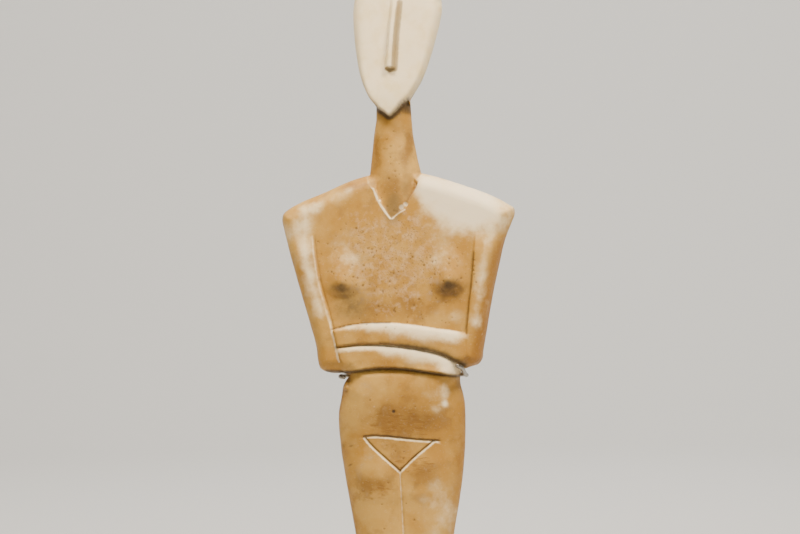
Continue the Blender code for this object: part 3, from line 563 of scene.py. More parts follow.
def parallel(line, offsets, spacing=LINE_SPACING):
    """Lines beside a smooth line, at the given distances to its left."""
    points = smooth_line(line, spacing)
    side = left_of(unit(np.gradient(points, axis=0)))
    return [points + offset * side for offset in offsets]


def carved_lines():
    """Lines that the front's facets follow, so that its carving stays crisp."""
    lines = []
    for line, offsets in FACET_LINES:
        lines += parallel(line, offsets)
    for lift in (0.0, NOSE_END / 2, NOSE_END):
        lines.append(np.array([(NOSE[0][0] + side, NOSE[0][1] + lift) for side in NOSE_OFFSETS]))
    return lines


def back_lines():
    """Lines that the back's facets follow: the spine and the cleft between the legs."""
    spine_half, cleft_half = SPINE_GROOVE[1], BACK_CLEFT[1]
    lines = parallel(SPINE, (-spine_half, 0.0, spine_half), BACK_SPACING)
    return lines + parallel(LEG_CLEFT, (-cleft_half, 0.0, cleft_half), BACK_SPACING)


print("The mesh follows", len(carved_lines()), "lines in front and", len(back_lines()), "behind")

# %% Helpers: which way is inwards, and points that keep apart
CLOSEST_POINTS = 0.2
RIM_CLEARANCE = 0.35


def edge_normals(loop):
    """Unit normals into a closed loop that runs anticlockwise."""
    ahead = unit(np.roll(loop, -1, axis=0) - loop)
    behind = unit(loop - np.roll(loop, 1, axis=0))
    return left_of(unit(ahead + behind))


def crowded(point, cells, reach):
    """Whether a kept point lies closer than the reach, looked up in a grid of cells that wide."""
    column, row = int(point[0] // reach), int(point[1] // reach)
    for i in (column - 1, column, column + 1):
        for j in (row - 1, row, row + 1):
            if any(math.dist(point, other) < reach for other in cells.get((i, j), ())):
                return True
    cells.setdefault((column, row), []).append(point)
    return False


def guide_points(lines, rim):
    """Points along the carved lines and the guide edges between them."""
    points, edges, cells = [], [], {}
    for line in lines:
        deep_enough = depth_inside(line, rim) > RIM_CLEARANCE
        last = None
        for point, good in zip(line, deep_enough):
            if not good:
                last = None
            elif not crowded(tuple(point), cells, CLOSEST_POINTS):
                points.append(point)
                if last is not None:
                    edges.append((last, len(points) - 1))
                last = len(points) - 1
    return points, edges


# %% Rings along the rim, and an even grid inside them
RIM_SPACING = 0.9
RIM_RINGS = 9
RING_CLEARANCE = 0.3
ROW_HEIGHT = math.sqrt(3) / 2

# How closely rings and grid may follow one another, as shares of a step
RING_KEPT = 0.97
RING_SPREAD = 0.5
GRID_OFF_RINGS = 0.45
GRID_OFF_LINES = 0.62


def ring_points(rim, band, is_free):
    """Points in rings beside the rim, close together where the slab rounds off."""
    normals = edge_normals(rim)
    points = []
    for k in range(1, RIM_RINGS + 1):
        deep = band * (1 - math.cos(k / RIM_RINGS * math.pi / 2))
        ring = rim + normals * deep[:, None]
        clear = depth_inside(ring, rim) > RING_KEPT * deep
        last = None
        for place, good in zip(ring, clear):
            apart = last is None or math.dist(place, last) > RING_SPREAD * RIM_SPACING
            if good and apart and is_free(place, RING_CLEARANCE):
                points.append(place)
                last = place
    return points


def grid_points(rim, band, spacing, is_free):
    """Points of an even triangular grid, inside the rings and clear of the carved lines."""
    low, high = rim.min(axis=0), rim.max(axis=0)
    row_step = spacing * ROW_HEIGHT
    grid = []
    for row in range(int((high[1] - low[1]) / row_step) + 1):
        for across in np.arange(low[0] + 0.5 * spacing * (row % 2), high[0], spacing):
            grid.append((across, low[1] + row * row_step))
    grid = np.array(grid)
    order = np.argsort(rim[:, 1])
    reach = np.interp(grid[:, 1], rim[order, 1], band[order])
    grid = grid[depth_inside(grid, rim) > reach + GRID_OFF_RINGS * spacing]
    return [place for place in grid if is_free(place, GRID_OFF_LINES * spacing)]


# %% All points for one side of the figure
WIDEST_BAND = 13.0
HEAD_BAND = 8.0


def sheet_points(rim, lines, spacing):
    """Points and guide edges for one side of the figure, all inside its rim."""
    points, edges = guide_points(lines, rim)
    guides = KDTree(len(points))
    for i, (across, up) in enumerate(points):
        guides.insert((across, up, 0), i)
    guides.balance()

    def is_free(place, reach):
        return guides.find((place[0], place[1], 0))[2] > reach

    body_band = at_height(rim[:, 1], BODY_ROUNDING)
    band = np.minimum(np.where(rim[:, 1] > NECKLINE[0][1], HEAD_BAND, body_band), WIDEST_BAND)
    points += ring_points(rim, band, is_free)
    points += grid_points(rim, band, spacing, is_free)
    return np.array(points), edges


# %% [markdown]
# ## One closed mesh
#
# Front and back are two sheets over the same outline, and they share its points, so the result
# is closed, as a real stone is. A triangle edge that cuts straight across the outline would be a
# flat web, so a point is added in its middle until none is left.

# %% Triangles that fill one side
FILL_INSIDE = 1
SAME_POINT = 1e-5


def filled(rim, points, edges):
    """Triangles that fill the rim through the points, with no edge that cuts straight across it."""
    count = len(rim)
    while True:
        places = [Vector(p) for p in rim] + [Vector(p) for p in points]
        guide = [(a + count, b + count) for a, b in edges]
        loop = [list(range(count))]
        result = delaunay_2d_cdt(places, guide, loop, FILL_INSIDE, SAME_POINT)
        spots, _, faces, origins, _, _ = result
        rim_at = {i: min(o) for i, o in enumerate(origins) if o and min(o) < count}
        extra = []
        for face in faces:
            for a, b in zip(face, face[1:] + face[:1]):
                if a in rim_at and b in rim_at and rim_at[a] < rim_at[b]:
                    if (rim_at[b] - rim_at[a]) not in (1, count - 1):
                        extra.append((np.array(spots[a]) + np.array(spots[b])) / 2)
        if not extra:
            return np.array([tuple(s) for s in spots]), faces, rim_at
        points = np.vstack([points, extra])


# %% Both sides, joined at the rim
def figure_surface():
    """Places, triangles and which places are on the front, in drawn millimetres."""
    rim = joined(FIGURE_RUNS, RIM_SPACING)
    places = [(x, y, z) for (x, z), y in zip(rim, rim_depth(rim))]
    on_front = [True] * len(rim)
    triangles = []
    sides = (
        (carved_lines(), FRONT_SPACING, front_depth, False),
        (back_lines(), BACK_SPACING, back_depth, True),
    )
    for lines, spacing, depth, is_back in sides:
        points, edges = sheet_points(rim, lines, spacing)
        spots, faces, rim_at = filled(rim, points, edges)
        inner = [i for i in range(len(spots)) if i not in rim_at]
        place = dict(zip(inner, range(len(places), len(places) + len(inner))))
        places += [(x, y, z) for (x, z), y in zip(spots[inner], depth(spots[inner]))]
        on_front += [not is_back] * len(inner)
        place.update(rim_at)
        for face in faces:
            corners = [place[i] for i in face]
            triangles.append(corners[::-1] if is_back else corners)
    return np.array(places), triangles, np.array(on_front)


surface, triangles, on_front = figure_surface()
print(f"Figure: {len(surface)} places, {on_front.sum()} of them in front, {len(triangles)} triangles")

# %% [markdown]
# ## Hand-rubbed stone
#
# A hand-made surface is never quite flat. Rubbing leaves slow waves a centimetre long, time leaves
# pits in the chest and fine scratches across the belly, and the edges of the head and of the V
# have lost small chips. All of it moves the mesh points along their normals, by a tenth of a
# millimetre in most places and by nearly one in the deepest chip.

# %% Helpers: normals, soft ovals and noise
def point_normals(places, corners):
    """Unit normal at each place, from the triangles round it."""
    a, b, c = (places[corners[:, i]] for i in range(3))
    facing = np.cross(b - a, c - a)
    normals = np.zeros_like(places)
    for i in range(3):
        np.add.at(normals, corners[:, i], facing)
    return unit(normals)


def oval(points, centre, size, turn=0.0, softness=0.5):
    """1 in the middle of a turned oval, easing to 0 at its edge."""
    angle = math.radians(turn)
    across, up = points[:, 0] - centre[0], points[:, 1] - centre[1]
    along = (across * math.cos(angle) + up * math.sin(angle)) / size[0]
    beside = (up * math.cos(angle) - across * math.sin(angle)) / size[1]
    return 1 - between(np.hypot(along, beside), 1 - softness, 1)


def waves(places, size, offset):
    """Smooth noise from about -1 to 1, whose waves have the given size in millimetres."""
    scaled = places / np.array(size) + offset
    return np.array([noise.noise(Vector(place)) for place in scaled])


corners = np.array(triangles)
normals = point_normals(surface, corners)
views = surface[:, [0, 2]]
up = surface[:, 2]

# %% Slow waves, quick waves and scratches
SCRATCHED_ZONES = [
    ((0.0, 183.0), (33.0, 13.0)), ((-14.0, 150.0), (16.0, 9.0)), ((6.0, 163.0), (20.0, 9.0)),
]
SCRATCH_SOFTNESS = 0.6
zones = [oval(views, *zone, softness=SCRATCH_SOFTNESS) for zone in SCRATCHED_ZONES]
scratched = np.max(zones, axis=0) * on_front

# Waves, as (size, height, how far they are shifted, where they are)
WAVES = [
    ((14.0, 14.0, 14.0), 0.14, 3.1, 1.0),
    ((4.5, 4.5, 4.5), 0.05, 7.7, 1.0),
    ((3.6, 3.6, 1.0), 0.07, 1.3, scratched),
]
relief = np.zeros(len(surface))
for size, height, shift, share in WAVES:
    relief += height * share * waves(surface, size, shift)
print(f"Waves from {relief.min():.2f} to {relief.max():.2f} drawn mm")

# %% Chips, as (place, radius, depth), and the pits of the weathered chest
CHIPS = [
    ((21.6, 394.2), 3.2, 0.9), ((1.6, 290.2), 1.6, 0.45), ((3.6, 291.6), 1.5, 0.35),
    ((-9.4, 293.6), 0.9, 0.2),
]

# The navel comes first, then single pits, then zones with many as (centre, size, count)
SINGLE_PITS = [
    ((-3.4, 189.2), 1.1, 0.4), ((-26.0, 171.7), 0.9, 0.35), ((-15.0, 195.0), 0.6, 0.25),
    ((23.5, 170.0), 0.6, 0.25), ((-3.0, 169.5), 0.6, 0.2),
]
PITTED_ZONES = [
    ((-27.0, 270.0), (15.0, 15.0), 34),
    ((25.0, 256.0), (15.0, 15.0), 48),
    ((-2.0, 256.0), (26.0, 18.0), 60),
    ((-3.0, 308.0), (8.0, 20.0), 24),
    ((0.0, 236.0), (30.0, 6.0), 26),
    ((-2.0, 150.0), (26.0, 50.0), 22),
]
PIT_RADIUS = (0.3, 0.75)
PIT_DEPTH = (0.1, 0.32)
PITS_SPREAD = 0.6
PITS_MOSTLY_SMALL = 2
PIT_SEED = 410
chance = np.random.default_rng(PIT_SEED)


def scattered_pits(centre, size, count):
    """Pits at random places in an oval, thinner towards its edge."""
    pits = []
    for _ in range(count):
        angle = chance.uniform(0, 2 * math.pi)
        share = chance.uniform(0, 1) ** PITS_SPREAD
        across = centre[0] + size[0] * share * math.cos(angle)
        up = centre[1] + size[1] * share * math.sin(angle)
        size_share = chance.uniform(0, 1) ** PITS_MOSTLY_SMALL
        radius = PIT_RADIUS[0] + size_share * (PIT_RADIUS[1] - PIT_RADIUS[0])
        depth = PIT_DEPTH[0] + size_share * (PIT_DEPTH[1] - PIT_DEPTH[0])
        pits.append(((across, up), radius, depth))
    return pits


# %% Sink pits and chips, and move the surface
pits = list(SINGLE_PITS)
for zone in PITTED_ZONES:
    pits += scattered_pits(*zone)
pitted = np.zeros(len(surface))
chipped = np.zeros(len(surface))
for marks, mask in ((pits, pitted), (CHIPS, chipped)):
    for place, radius, depth in marks:
        bowl = np.clip(1 - (np.hypot(*(views - place).T) / radius) ** 2, 0, 1) * on_front
        relief -= depth * bowl
        mask[:] = np.maximum(mask, bowl)
surface = surface + normals * relief[:, None]
print(f"Surface relief from {relief.min():.2f} to {relief.max():.2f} drawn mm, {len(pits)} pits")

# %% [markdown]
# ## Where the stone has changed colour, and where light and shade are painted
#
# The finish needs to know where things are: the head, patches where the brown skin has gone,
# iron-orange edges, painted highlights on the forearms' bevels, the breasts' tops and the carved
# edges, and painted shade in the cuts, creases and under the jaw, nose and breasts. Each is a value
# from 0 to 1 at every mesh point, and the material reads them by name and breaks up their edges with
# noise.

# %% Masks from the form itself
flat = views[on_front]
JAW_SOFTNESS = 0.3
HEAD_BACK = (343.5, 350.0)
SPECKLED_OVAL = ((-2.0, 265.0), (50.0, 45.0), 0.0, 0.7)
SPECKLED_ELSEWHERE = 0.25
masks = {}


def front_mask(values):
    """A mask that holds the given values on the front and 0 on the back."""
    mask = np.zeros(len(surface))
    mask[on_front] = values
    return mask


from_edge = depth_inside(views, FIGURE_LOOP)
side_of_head = np.where(inside(views, HEAD_LOOP), 1, -1)
into_head = side_of_head * np.abs(closest(views, np.vstack([HEAD_LOOP, HEAD_LOOP[:1]])))
face = between(into_head, -JAW_SOFTNESS, 0.0) * on_front
masks["head_stone"] = np.maximum(face, between(up, *HEAD_BACK))
masks["scratched"] = scratched
masks["speckled"] = np.maximum(oval(views, *SPECKLED_OVAL), SPECKLED_ELSEWHERE)
masks["pitted"] = pitted
in_opening = inside(views, NECKLINE_LOOP) * on_front

# %% Patches where the brown skin has gone, and painted highlights on the breasts' tops, as (centre, size, turn, strength)
FRESH_AND_LIT_PATCHES = [
    ((33.0, 291.0), (37.0, 25.0), -15.0, 1.2),
    ((17.0, 298.0), (17.0, 15.0), -35.0, 1.1),
    ((45.0, 280.0), (11.0, 13.0), 0.0, 0.7),
    ((-42.0, 290.5), (12.0, 6.5), 22.0, 0.6),
    ((-29.0, 296.0), (14.0, 6.0), 20.0, 0.42),
    ((-52.0, 279.0), (15.0, 16.0), 0.0, 0.55),
    ((-14.2, 303.6), (1.8, 4.8), 20.0, 0.9),
    ((25.0, 209.0), (9.0, 4.5), -18.0, 0.8),
    ((17.0, 198.0), (13.0, 9.0), -20.0, 0.36),
    ((21.8, 198.5), (6.0, 9.0), 0.0, 0.52),
    ((21.8, 193.0), (3.4, 3.2), 0.0, 0.85),
    ((16.8, 191.0), (6.0, 4.5), 0.0, 0.42),
    ((19.0, 140.0), (15.0, 30.0), 0.0, 0.44),
    ((-20.0, 201.0), (14.0, 9.0), 0.0, 0.28),
    ((-20.0, 171.0), (12.0, 24.0), 0.0, 0.27),
    # Painted highlights on the tops of the breasts
    ((-27.0, 266.0), (20.0, 20.0), 0.0, 0.36),
    ((21.0, 265.0), (19.0, 22.0), 0.0, 0.36),
    ((25.0, 236.0), (13.0, 7.0), 0.0, 0.42),
]
FRESH_BEHIND = ((36.0, 286.0), (26.0, 20.0), 0.0, 0.8)
PATCH_SOFTNESS = 0.95


def ovals(patches):
    """The strongest of several soft ovals at each point."""
    values = []
    for centre, size, turn, share in patches:
        values.append(share * oval(views, centre, size, turn, PATCH_SOFTNESS))
    return np.max(values, axis=0)


# %% Pale bands, as (line, distance to its left, half width, strength)
LEFT_ARM_BAND = [(-46.5, 289.0), (-46.8, 270.0), (-42.2, 250.0), (-39.0, 239.0)]
RIGHT_ARM_BAND = [(43.5, 279.0), (42.0, 262.0), (40.0, 248.0), (38.0, 233.0)]
FRESH_BANDS = [
    (LEFT_ARM_BAND, 0.0, 8.5, 0.6),
    (RIGHT_ARM_BAND, 0.0, 6.5, 0.5),
]
CUT_FADE = (266.0, 280.0)
# How strong the painted highlight on the forearms' bevels is along them
BEVEL_HIGHLIGHT_STRENGTH = [(-34.0, 0.45), (-20.0, 0.6), (-4.0, 0.9), (24.0, 0.95), (35.0, 0.4)]
BEVEL_ENDS = (-34.0, -31.0), (28.0, 38.0)
BEVEL_FULL = 1.2
BEVEL_FADE = 0.8
BEVEL_START = (-0.15, 0.05)


def line_mask(line, shift, half_width):
    """1 on a line laid beside another one, falling to 0 at its half width, on the front only."""
    middle = parallel(line, (shift,), FORM_STEP)[0]
    return front_mask(np.clip(1 - np.abs(closest(flat, middle)) / half_width, 0, 1))


def bands(rows):
    """The strongest of several lines at each point."""
    return np.max([share * line_mask(*row) for *row, share in rows], axis=0)


def bevel_highlight(line):
    """Painted highlight: 1 at the top of a forearm's bevel, falling to 0 at its foot, as strong as it is
    there.
    """
    across = flat[:, 0]
    below = -closest(flat, smooth_line(line, FORM_STEP)) / at_height(across, FOREARM_BEVEL)
    along = between(across, *BEVEL_ENDS[0]) * (1 - between(across, *BEVEL_ENDS[1]))
    share = np.clip(BEVEL_FULL - BEVEL_FADE * below, 0, 1) * between(below, *BEVEL_START)
    return front_mask(at_height(across, BEVEL_HIGHLIGHT_STRENGTH) * along * share)


# %% Fresh stone: patches and bands on the arms, with painted highlights on the forearms' bevels and the breasts' tops
bevel_highlights = np.maximum(bevel_highlight(FOREARM_TOP), bevel_highlight(FOREARM_MIDDLE))
on_left_arm = -closest(views, smooth_line(LEFT_ARM_EDGE, FORM_STEP))
on_right_arm = closest(views, smooth_line(RIGHT_ARM_EDGE, FORM_STEP))
on_arm = between(np.where(views[:, 0] < 0, on_left_arm, on_right_arm), -ARM_WALL / 2, ARM_WALL / 2)
arm_bands = bands(FRESH_BANDS) * np.maximum(on_arm, between(up, *CUT_FADE))
fresh_and_highlight = np.maximum.reduce([ovals(FRESH_AND_LIT_PATCHES), arm_bands, bevel_highlights]) * (1 - in_opening)
masks["fresh_stone_and_highlight"] = np.maximum(np.where(on_front, fresh_and_highlight, oval(views, *FRESH_BEHIND)), chipped)
print(f"Fresh stone on {(masks['fresh_stone_and_highlight'] > 0).mean():.0%} of the places")

# %% Iron-orange along the thin edges, deepened into painted shade on the right arm's outer edge
ELBOW_UNDERSIDE = BODY_LEFT[-2][1]
STAIN_DEPTH = 7.5
STAIN_GAIN = 1.3
STAIN_ON_LEGS = 0.6
STAIN_AND_SHADE_RIGHT = (284.0, 262.0)
STAINED_LEFT = (210.0, 204.0)
SHOULDER_STAIN_SHARE = 0.6
SHOULDER_STAIN_SOFTNESS = 0.9
SHOULDER_STAIN = ((-24.0, 301.5), (17.0, 5.0), 22.0, SHOULDER_STAIN_SOFTNESS)
stain_and_shade = 1 - np.clip(from_edge / STAIN_DEPTH, 0, 1)
on_right = views[:, 0] > 0
# On the right, the orange edge is also painted shade along the arm's outer rim
stained_height = np.where(on_right, between(up, *STAIN_AND_SHADE_RIGHT), between(up, *STAINED_LEFT))
stain_and_shade = stain_and_shade * np.where(up < ELBOW_UNDERSIDE, STAIN_ON_LEGS, STAIN_GAIN)
stain_and_shade = np.maximum(stain_and_shade * stained_height, SHOULDER_STAIN_SHARE * oval(views, *SHOULDER_STAIN))
masks["iron_stain_and_shade"] = stain_and_shade * (up < NECKLINE[0][1])
print(f"Iron edges on {(masks['iron_stain_and_shade'] > 0).mean():.0%} of the places")

# %% Painted shade in the cuts, under the breasts, under the jaw and in the navel
DEEP_SHADE_SPOTS = [
    ((-28.6, 250.4), (9.5, 6.0), -8.0, 0.82),
    ((-24.5, 245.5), (20.0, 13.0), -14.0, 0.58),
    ((25.4, 251.2), (10.0, 6.5), 12.0, 0.85),
    ((24.5, 248.5), (19.0, 12.0), 14.0, 0.6),
    ((-3.4, 189.2), (1.7, 1.6), 0.0, 0.9),
    ((5.0, 340.0), (8.0, 6.5), 30.0, 1.0),
]
DEEP_SHADE_LINES = [
    (JAW, -0.7, 2.2, 1.2),
    (FOREARM_MIDDLE[:3], 0.5, 1.8, 0.8),
    (FOREARM_MIDDLE[2:], 0.7, 2.6, 0.85),
    (FOREARM_BOTTOM, 0.2, 1.8, 1.1),
    (FOREARM_TOP[:3], 0.4, 1.1, 0.8),
    (FOREARM_TOP[-2:], 0.4, 0.8, 0.4),
    (RIGHT_ARM_EDGE[1:], 0.0, 1.2, 0.75),
    (LEFT_ARM_EDGE, 0.9, 1.8, 0.45),
    (TRIANGLE_TOP, 0.45, 0.7, 1.1),
    (TRIANGLE_LEFT, 0.4, 0.6, 1.0),
    (TRIANGLE_RIGHT, -0.4, 0.6, 1.0),
    (NECKLINE[5:], 0.9, 1.8, 0.55),
]
DEEP_SHADE_INTO_HEAD = 0.9
painted_deep_shade = np.maximum(ovals(DEEP_SHADE_SPOTS), bands(DEEP_SHADE_LINES)) * on_front
masks["painted_deep_shade"] = painted_deep_shade * (into_head < DEEP_SHADE_INTO_HEAD)

# %% Painted shade beside and under the nose, under the upper forearm and on the lower chest, and darker down in the neckline and at one spot on the left hip
DIRT_AND_SHADE_SPOTS = [
    ((-2.5, 290.0), (9.0, 14.0), 0.0, 1.0),
    ((-24.0, 238.5), (20.0, 9.0), -6.0, 0.7),
    ((4.5, 300.0), (6.0, 14.0), -12.0, 0.7),
    ((-30.0, 171.7), (1.6, 2.2), 0.0, 0.9),
]
NOSE_AND_FOREARM_SHADE_LINES = [
    (FOREARM_MIDDLE[3:], 1.5, 3.4, 0.85),
    (NOSE[:3], -2.2, 2.0, 2.2),
    (NOSE[:2], 2.3, 0.8, 0.5),
    ([(-5.0, 358.9), (-2.9, 358.2), (-0.9, 358.9)], 0.0, 1.4, 2.5),
]
masks["dirt_and_painted_shade"] = np.maximum(ovals(DIRT_AND_SHADE_SPOTS), bands(NOSE_AND_FOREARM_SHADE_LINES)) * on_front

# %% Painted highlights along the carved edges that face the light
EDGE_HIGHLIGHT_LINES = [
    (NECKLINE[:5], -0.5, 0.75, 1.1),
    (NECKLINE[4:7], -0.5, 0.8, 0.7),
    (LEFT_ARM_EDGE[3:], -0.4, 0.85, 0.85),
    (LEFT_ARM_EDGE[:4], -0.5, 1.2, 0.55),
    (FOREARM_TOP[1:], -1.6, 2.6, 0.5),
    (FOREARM_MIDDLE, -1.6, 2.2, 0.7),
    (TRIANGLE_TOP, -0.6, 0.9, 0.85),
    (TRIANGLE_LEFT, -0.6, 0.75, 0.95),
    (TRIANGLE_RIGHT, 0.6, 0.75, 0.95),
    (LEG_CLEFT[:4], 0.1, 0.7, 0.7),
]
masks["painted_edge_highlight"] = bands(EDGE_HIGHLIGHT_LINES) * (1 - chipped)

# %% Browner cloud where the belly holds its skin, and painted shade in the creases, under the forearms and down the neck
BROWN_SKIN_AND_SHADE_CLOUDS = [
    ((0.0, 186.0), (40.0, 19.0), 0.0, 0.85),
    ((-1.0, 170.0), (18.0, 9.0), 0.0, 0.55),
    # Painted shade in the creases between belly and thighs
    ((-15.0, 153.5), (18.0, 8.0), -8.0, 0.8),
    ((11.5, 158.0), (16.0, 9.0), 15.0, 0.75),
    # Painted shade on the lower chest
    ((-4.0, 241.0), (36.0, 11.0), 0.0, 0.75),
    ((-3.0, 300.0), (9.0, 18.0), 0.0, 0.8),
    # Painted shade under the right breast
    ((27.0, 246.0), (15.0, 10.0), 0.0, 0.6),
    ((-20.0, 300.0), (16.0, 5.0), 20.0, 0.3),
    # Painted shade on the undersides of the forearms
    ((-10.0, 213.5), (22.0, 4.0), 0.0, 0.5),
    ((20.0, 223.0), (22.0, 4.0), -12.0, 0.5),
    # Painted shade down the neck's sides
    ((4.6, 318.0), (4.5, 24.0), -8.0, 0.85),
    ((-11.5, 322.0), (4.0, 24.0), 6.0, 0.6),
]
masks["brown_skin_and_shade"] = ovals(BROWN_SKIN_AND_SHADE_CLOUDS) * on_front
print("Masks:", ", ".join(f"{name} {values.mean():.2f}" for name, values in masks.items()))

# %% Build the mesh and give it the masks
def add_piece(name, data):
    """Adds a mesh, a curve, a lamp or a camera to the scene."""
    piece = bpy.data.objects.new(name, data)
    bpy.context.scene.collection.objects.link(piece)
    return piece


mesh = bpy.data.meshes.new("carved_figure")
in_metres = surface * SHARE + np.array([0, 0, FIGURE_FLOOR])
mesh.from_pydata(in_metres.tolist(), [], triangles)
mesh.validate()
mesh.shade_smooth()
for name, values in masks.items():
    layer = mesh.attributes.new(name, "FLOAT", "POINT")
    layer.data.foreach_set("value", np.clip(values, 0, 1).astype(np.float32))
figure = add_piece("carved_figure", mesh)
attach(figure, "root")
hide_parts("figurine")
print("Carved figure:", len(mesh.polygons), "triangles")

# %% [markdown]
# ## Finishes
#
# A finish here is a chain of nodes that ends in one Principled shader. One helper adds a node with
# its settings and its inputs, where an input is a plain value or another node's output. Colours
# are written as on screen, and one function turns them to the linear values that Blender mixes.

# %% Helpers for node materials
def linear(colour):
    """A screen colour such as #C59E66 as linear red, green, blue and alpha."""
    parts = [int(colour[i:i + 2], 16) / 255 for i in (1, 3, 5)]
    return (*[p / 12.92 if p <= 0.04045 else ((p + 0.055) / 1.055) ** 2.4 for p in parts], 1.0)


def add_node(tree, kind, settings=None, inputs=None):
    """Adds one node, then sets its properties and fills its sockets with values or links."""
    node = tree.nodes.new(kind)
    for name, value in (settings or {}).items():
        setattr(node, name, value)
    for socket, value in (inputs or {}).items():
        if isinstance(value, bpy.types.NodeSocket):
            tree.links.new(value, node.inputs[socket])
        else:
            node.inputs[socket].default_value = value
    return node


def new_material(name):
    """An empty node material and its Principled shader."""
    material = bpy.data.materials.new(name)
    material.use_nodes = True
    return material, material.node_tree, material.node_tree.nodes["Principled BSDF"]


# The sockets of a colour mix, by number because their names repeat
MIX_FACTOR, MIX_A, MIX_B, MIX_RESULT = 0, 6, 7, 2
MIX_COLOURS = {"data_type": "RGBA"}
SMOOTHLY = {"interpolation_type": "SMOOTHSTEP"}
EVENLY = (1.0, 1.0, 1.0)
NOISE_ROUGHNESS = 0.6

# %% [markdown]
# ## Island marble under a burial skin
#
# Fine-grained white marble lets a little light in, so its shadows are soft. Iron in the soil
# stained its surface honey brown in clouds, darker in pits, orange along the thin edges, while
# the head and one shoulder stayed cream. It was rubbed smooth but not polished, so it has a broad
# soft sheen. Light and shade are also painted into the colour: highlights on the forearms' bevels,
# the breasts' tops and the carved edges, and shade in the cuts, the creases and under the jaw, nose,
# breasts and forearms. The layers go on in this order: the brown skin with its stains and some
# painted shade, the places where it has gone with some painted highlights, the head, then pits, the
# darker neckline with painted shade beside the nose, painted highlights on the edges and painted
# shade in the cuts. A pale sand tone leads from the skin to the fresh stone, so that their border
# is soft.

# %% Island marble: noises, as (size in millimetres, detail, stretch, offset)
MARBLE_NOISES = {
    "clouds": (28.0, 4.0, EVENLY, 0.0),
    "patches": (8.0, 5.0, EVENLY, 4.0),
    "mottle": (3.0, 4.0, EVENLY, 9.0),
    "grain": (0.7, 2.0, EVENLY, 2.0),
    "specks": (0.9, 3.0, EVENLY, 12.0),
    "flecks": (0.8, 3.0, (1.6, 1.0, 1.0), 17.0),
    "streaks": (1.3, 3.0, (3.4, 1.0, 1.0), 6.0),
}
marble, tree, shader = new_material("weathered_island_marble")
where = add_node(tree, "ShaderNodeTexCoord").outputs["Object"]
noises = {}
for name, (size, detail, stretch, offset) in MARBLE_NOISES.items():
    scale = [1 / (size * MILLIMETRE * along) for along in stretch]
    place = add_node(tree, "ShaderNodeMapping", None, {
        "Vector": where, "Scale": scale, "Location": (offset, offset, offset)})
    noises[name] = add_node(tree, "ShaderNodeTexNoise", None, {
        "Vector": place.outputs["Vector"], "Scale": 1.0, "Detail": detail,
        "Roughness": NOISE_ROUGHNESS}).outputs["Fac"]

# %% Island marble: the layers, in the order in which they go on
HONEY = linear("#B2822E")
SAND = linear("#C89F50")
# Brown of the burial skin, also used for painted shade
SKIN_AND_SHADE_BROWN = linear("#845B1C")
# Iron orange, also used for painted shade on the right arm's outer edge
IRON_AND_SHADE_ORANGE = linear("#98671C")
ROSY_SAND = linear("#D0AE82")
PALE_SAND = linear("#E6C88C")
# Fresh stone, also used for painted highlights
FRESH_AND_HIGHLIGHT = linear("#F8E9CA")
HEAD_CREAM = linear("#E6D7B6")
HEAD_YELLOW = linear("#DCC692")
DARK_SPECK = linear("#5E4422")
# Colour of the darker neckline, also used for painted shade beside and under the nose
DIRT_AND_SHADE_COLOUR = linear("#7A6232")
# Dark colour for painted shade in the cuts and under the breasts and jaw
DEEP_SHADE_COLOUR = linear("#2F2516")
# Pale colour for painted highlights along the carved edges
EDGE_HIGHLIGHT_COLOUR = linear("#F5E3BC")

# A layer is (mask, noise, noise's share, none below, full above, strength, colour). It shows
# where the mask, plus the noise counted from its middle times its share, passes those values.
LAYERS = {
    "sand clouds": (None, "clouds", 1.0, -0.15, 0.15, 1.0, SAND),
    "brown patches": (None, "patches", 1.0, 0.0, 0.22, 0.5, SKIN_AND_SHADE_BROWN),
    "brown skin and painted shade": ("brown_skin_and_shade", "patches", 1.2, 0.1, 1.0, 0.8, SKIN_AND_SHADE_BROWN),
    # Browner skin, and painted shade in the creases, under the forearms and down the neck
    "scratches": ("scratched", "streaks", 2.0, 0.9, 1.4, 0.75, SKIN_AND_SHADE_BROWN),
    # Iron-orange edges, partly painted shade on the right arm
    "iron edges and painted shade": ("iron_stain_and_shade", "patches", 1.0, 0.1, 0.9, 0.85, IRON_AND_SHADE_ORANGE),
    "rosy mottle": ("speckled", "mottle", 3.0, 0.65, 1.55, 0.6, ROSY_SAND),
    "dark specks": ("speckled", "specks", 4.0, 1.25, 1.75, 0.6, DARK_SPECK),
    "pale flecks": (None, "flecks", 1.0, 0.08, 0.2, 0.08, FRESH_AND_HIGHLIGHT),
    "pale sand": ("fresh_stone_and_highlight", "patches", 1.3, 0.12, 0.8, 0.85, PALE_SAND),
    # Fresh stone, and painted highlights on the forearms' bevels and the breasts' tops
    "fresh stone and highlights": ("fresh_stone_and_highlight", "patches", 0.9, 0.28, 1.0, 1.0, FRESH_AND_HIGHLIGHT),
    "head": ("head_stone", "patches", 0.0, 0.0, 1.0, 1.0, HEAD_CREAM),
    "yellow head": ("head_stone", "patches", 1.0, 0.9, 1.2, 0.7, HEAD_YELLOW),
    "pits": ("pitted", "mottle", 0.0, 0.0, 0.9, 0.75, DARK_SPECK),
    # Painted shade beside and under the nose and under the upper forearm, and darker down in the neckline
    "dirt and painted shade": ("dirt_and_painted_shade", "mottle", 0.6, 0.1, 1.0, 0.75, DIRT_AND_SHADE_COLOUR),
    # Painted highlights along the carved edges
    "painted edge highlights": ("painted_edge_highlight", "mottle", 0.9, 0.12, 0.9, 1.0, EDGE_HIGHLIGHT_COLOUR),
    # Painted shade, dark in the cuts and under the breasts and jaw
    "painted_deep_shade": ("painted_deep_shade", "mottle", 0.6, 0.1, 1.0, 0.85, DEEP_SHADE_COLOUR),
}
shares = {}
colour = HONEY
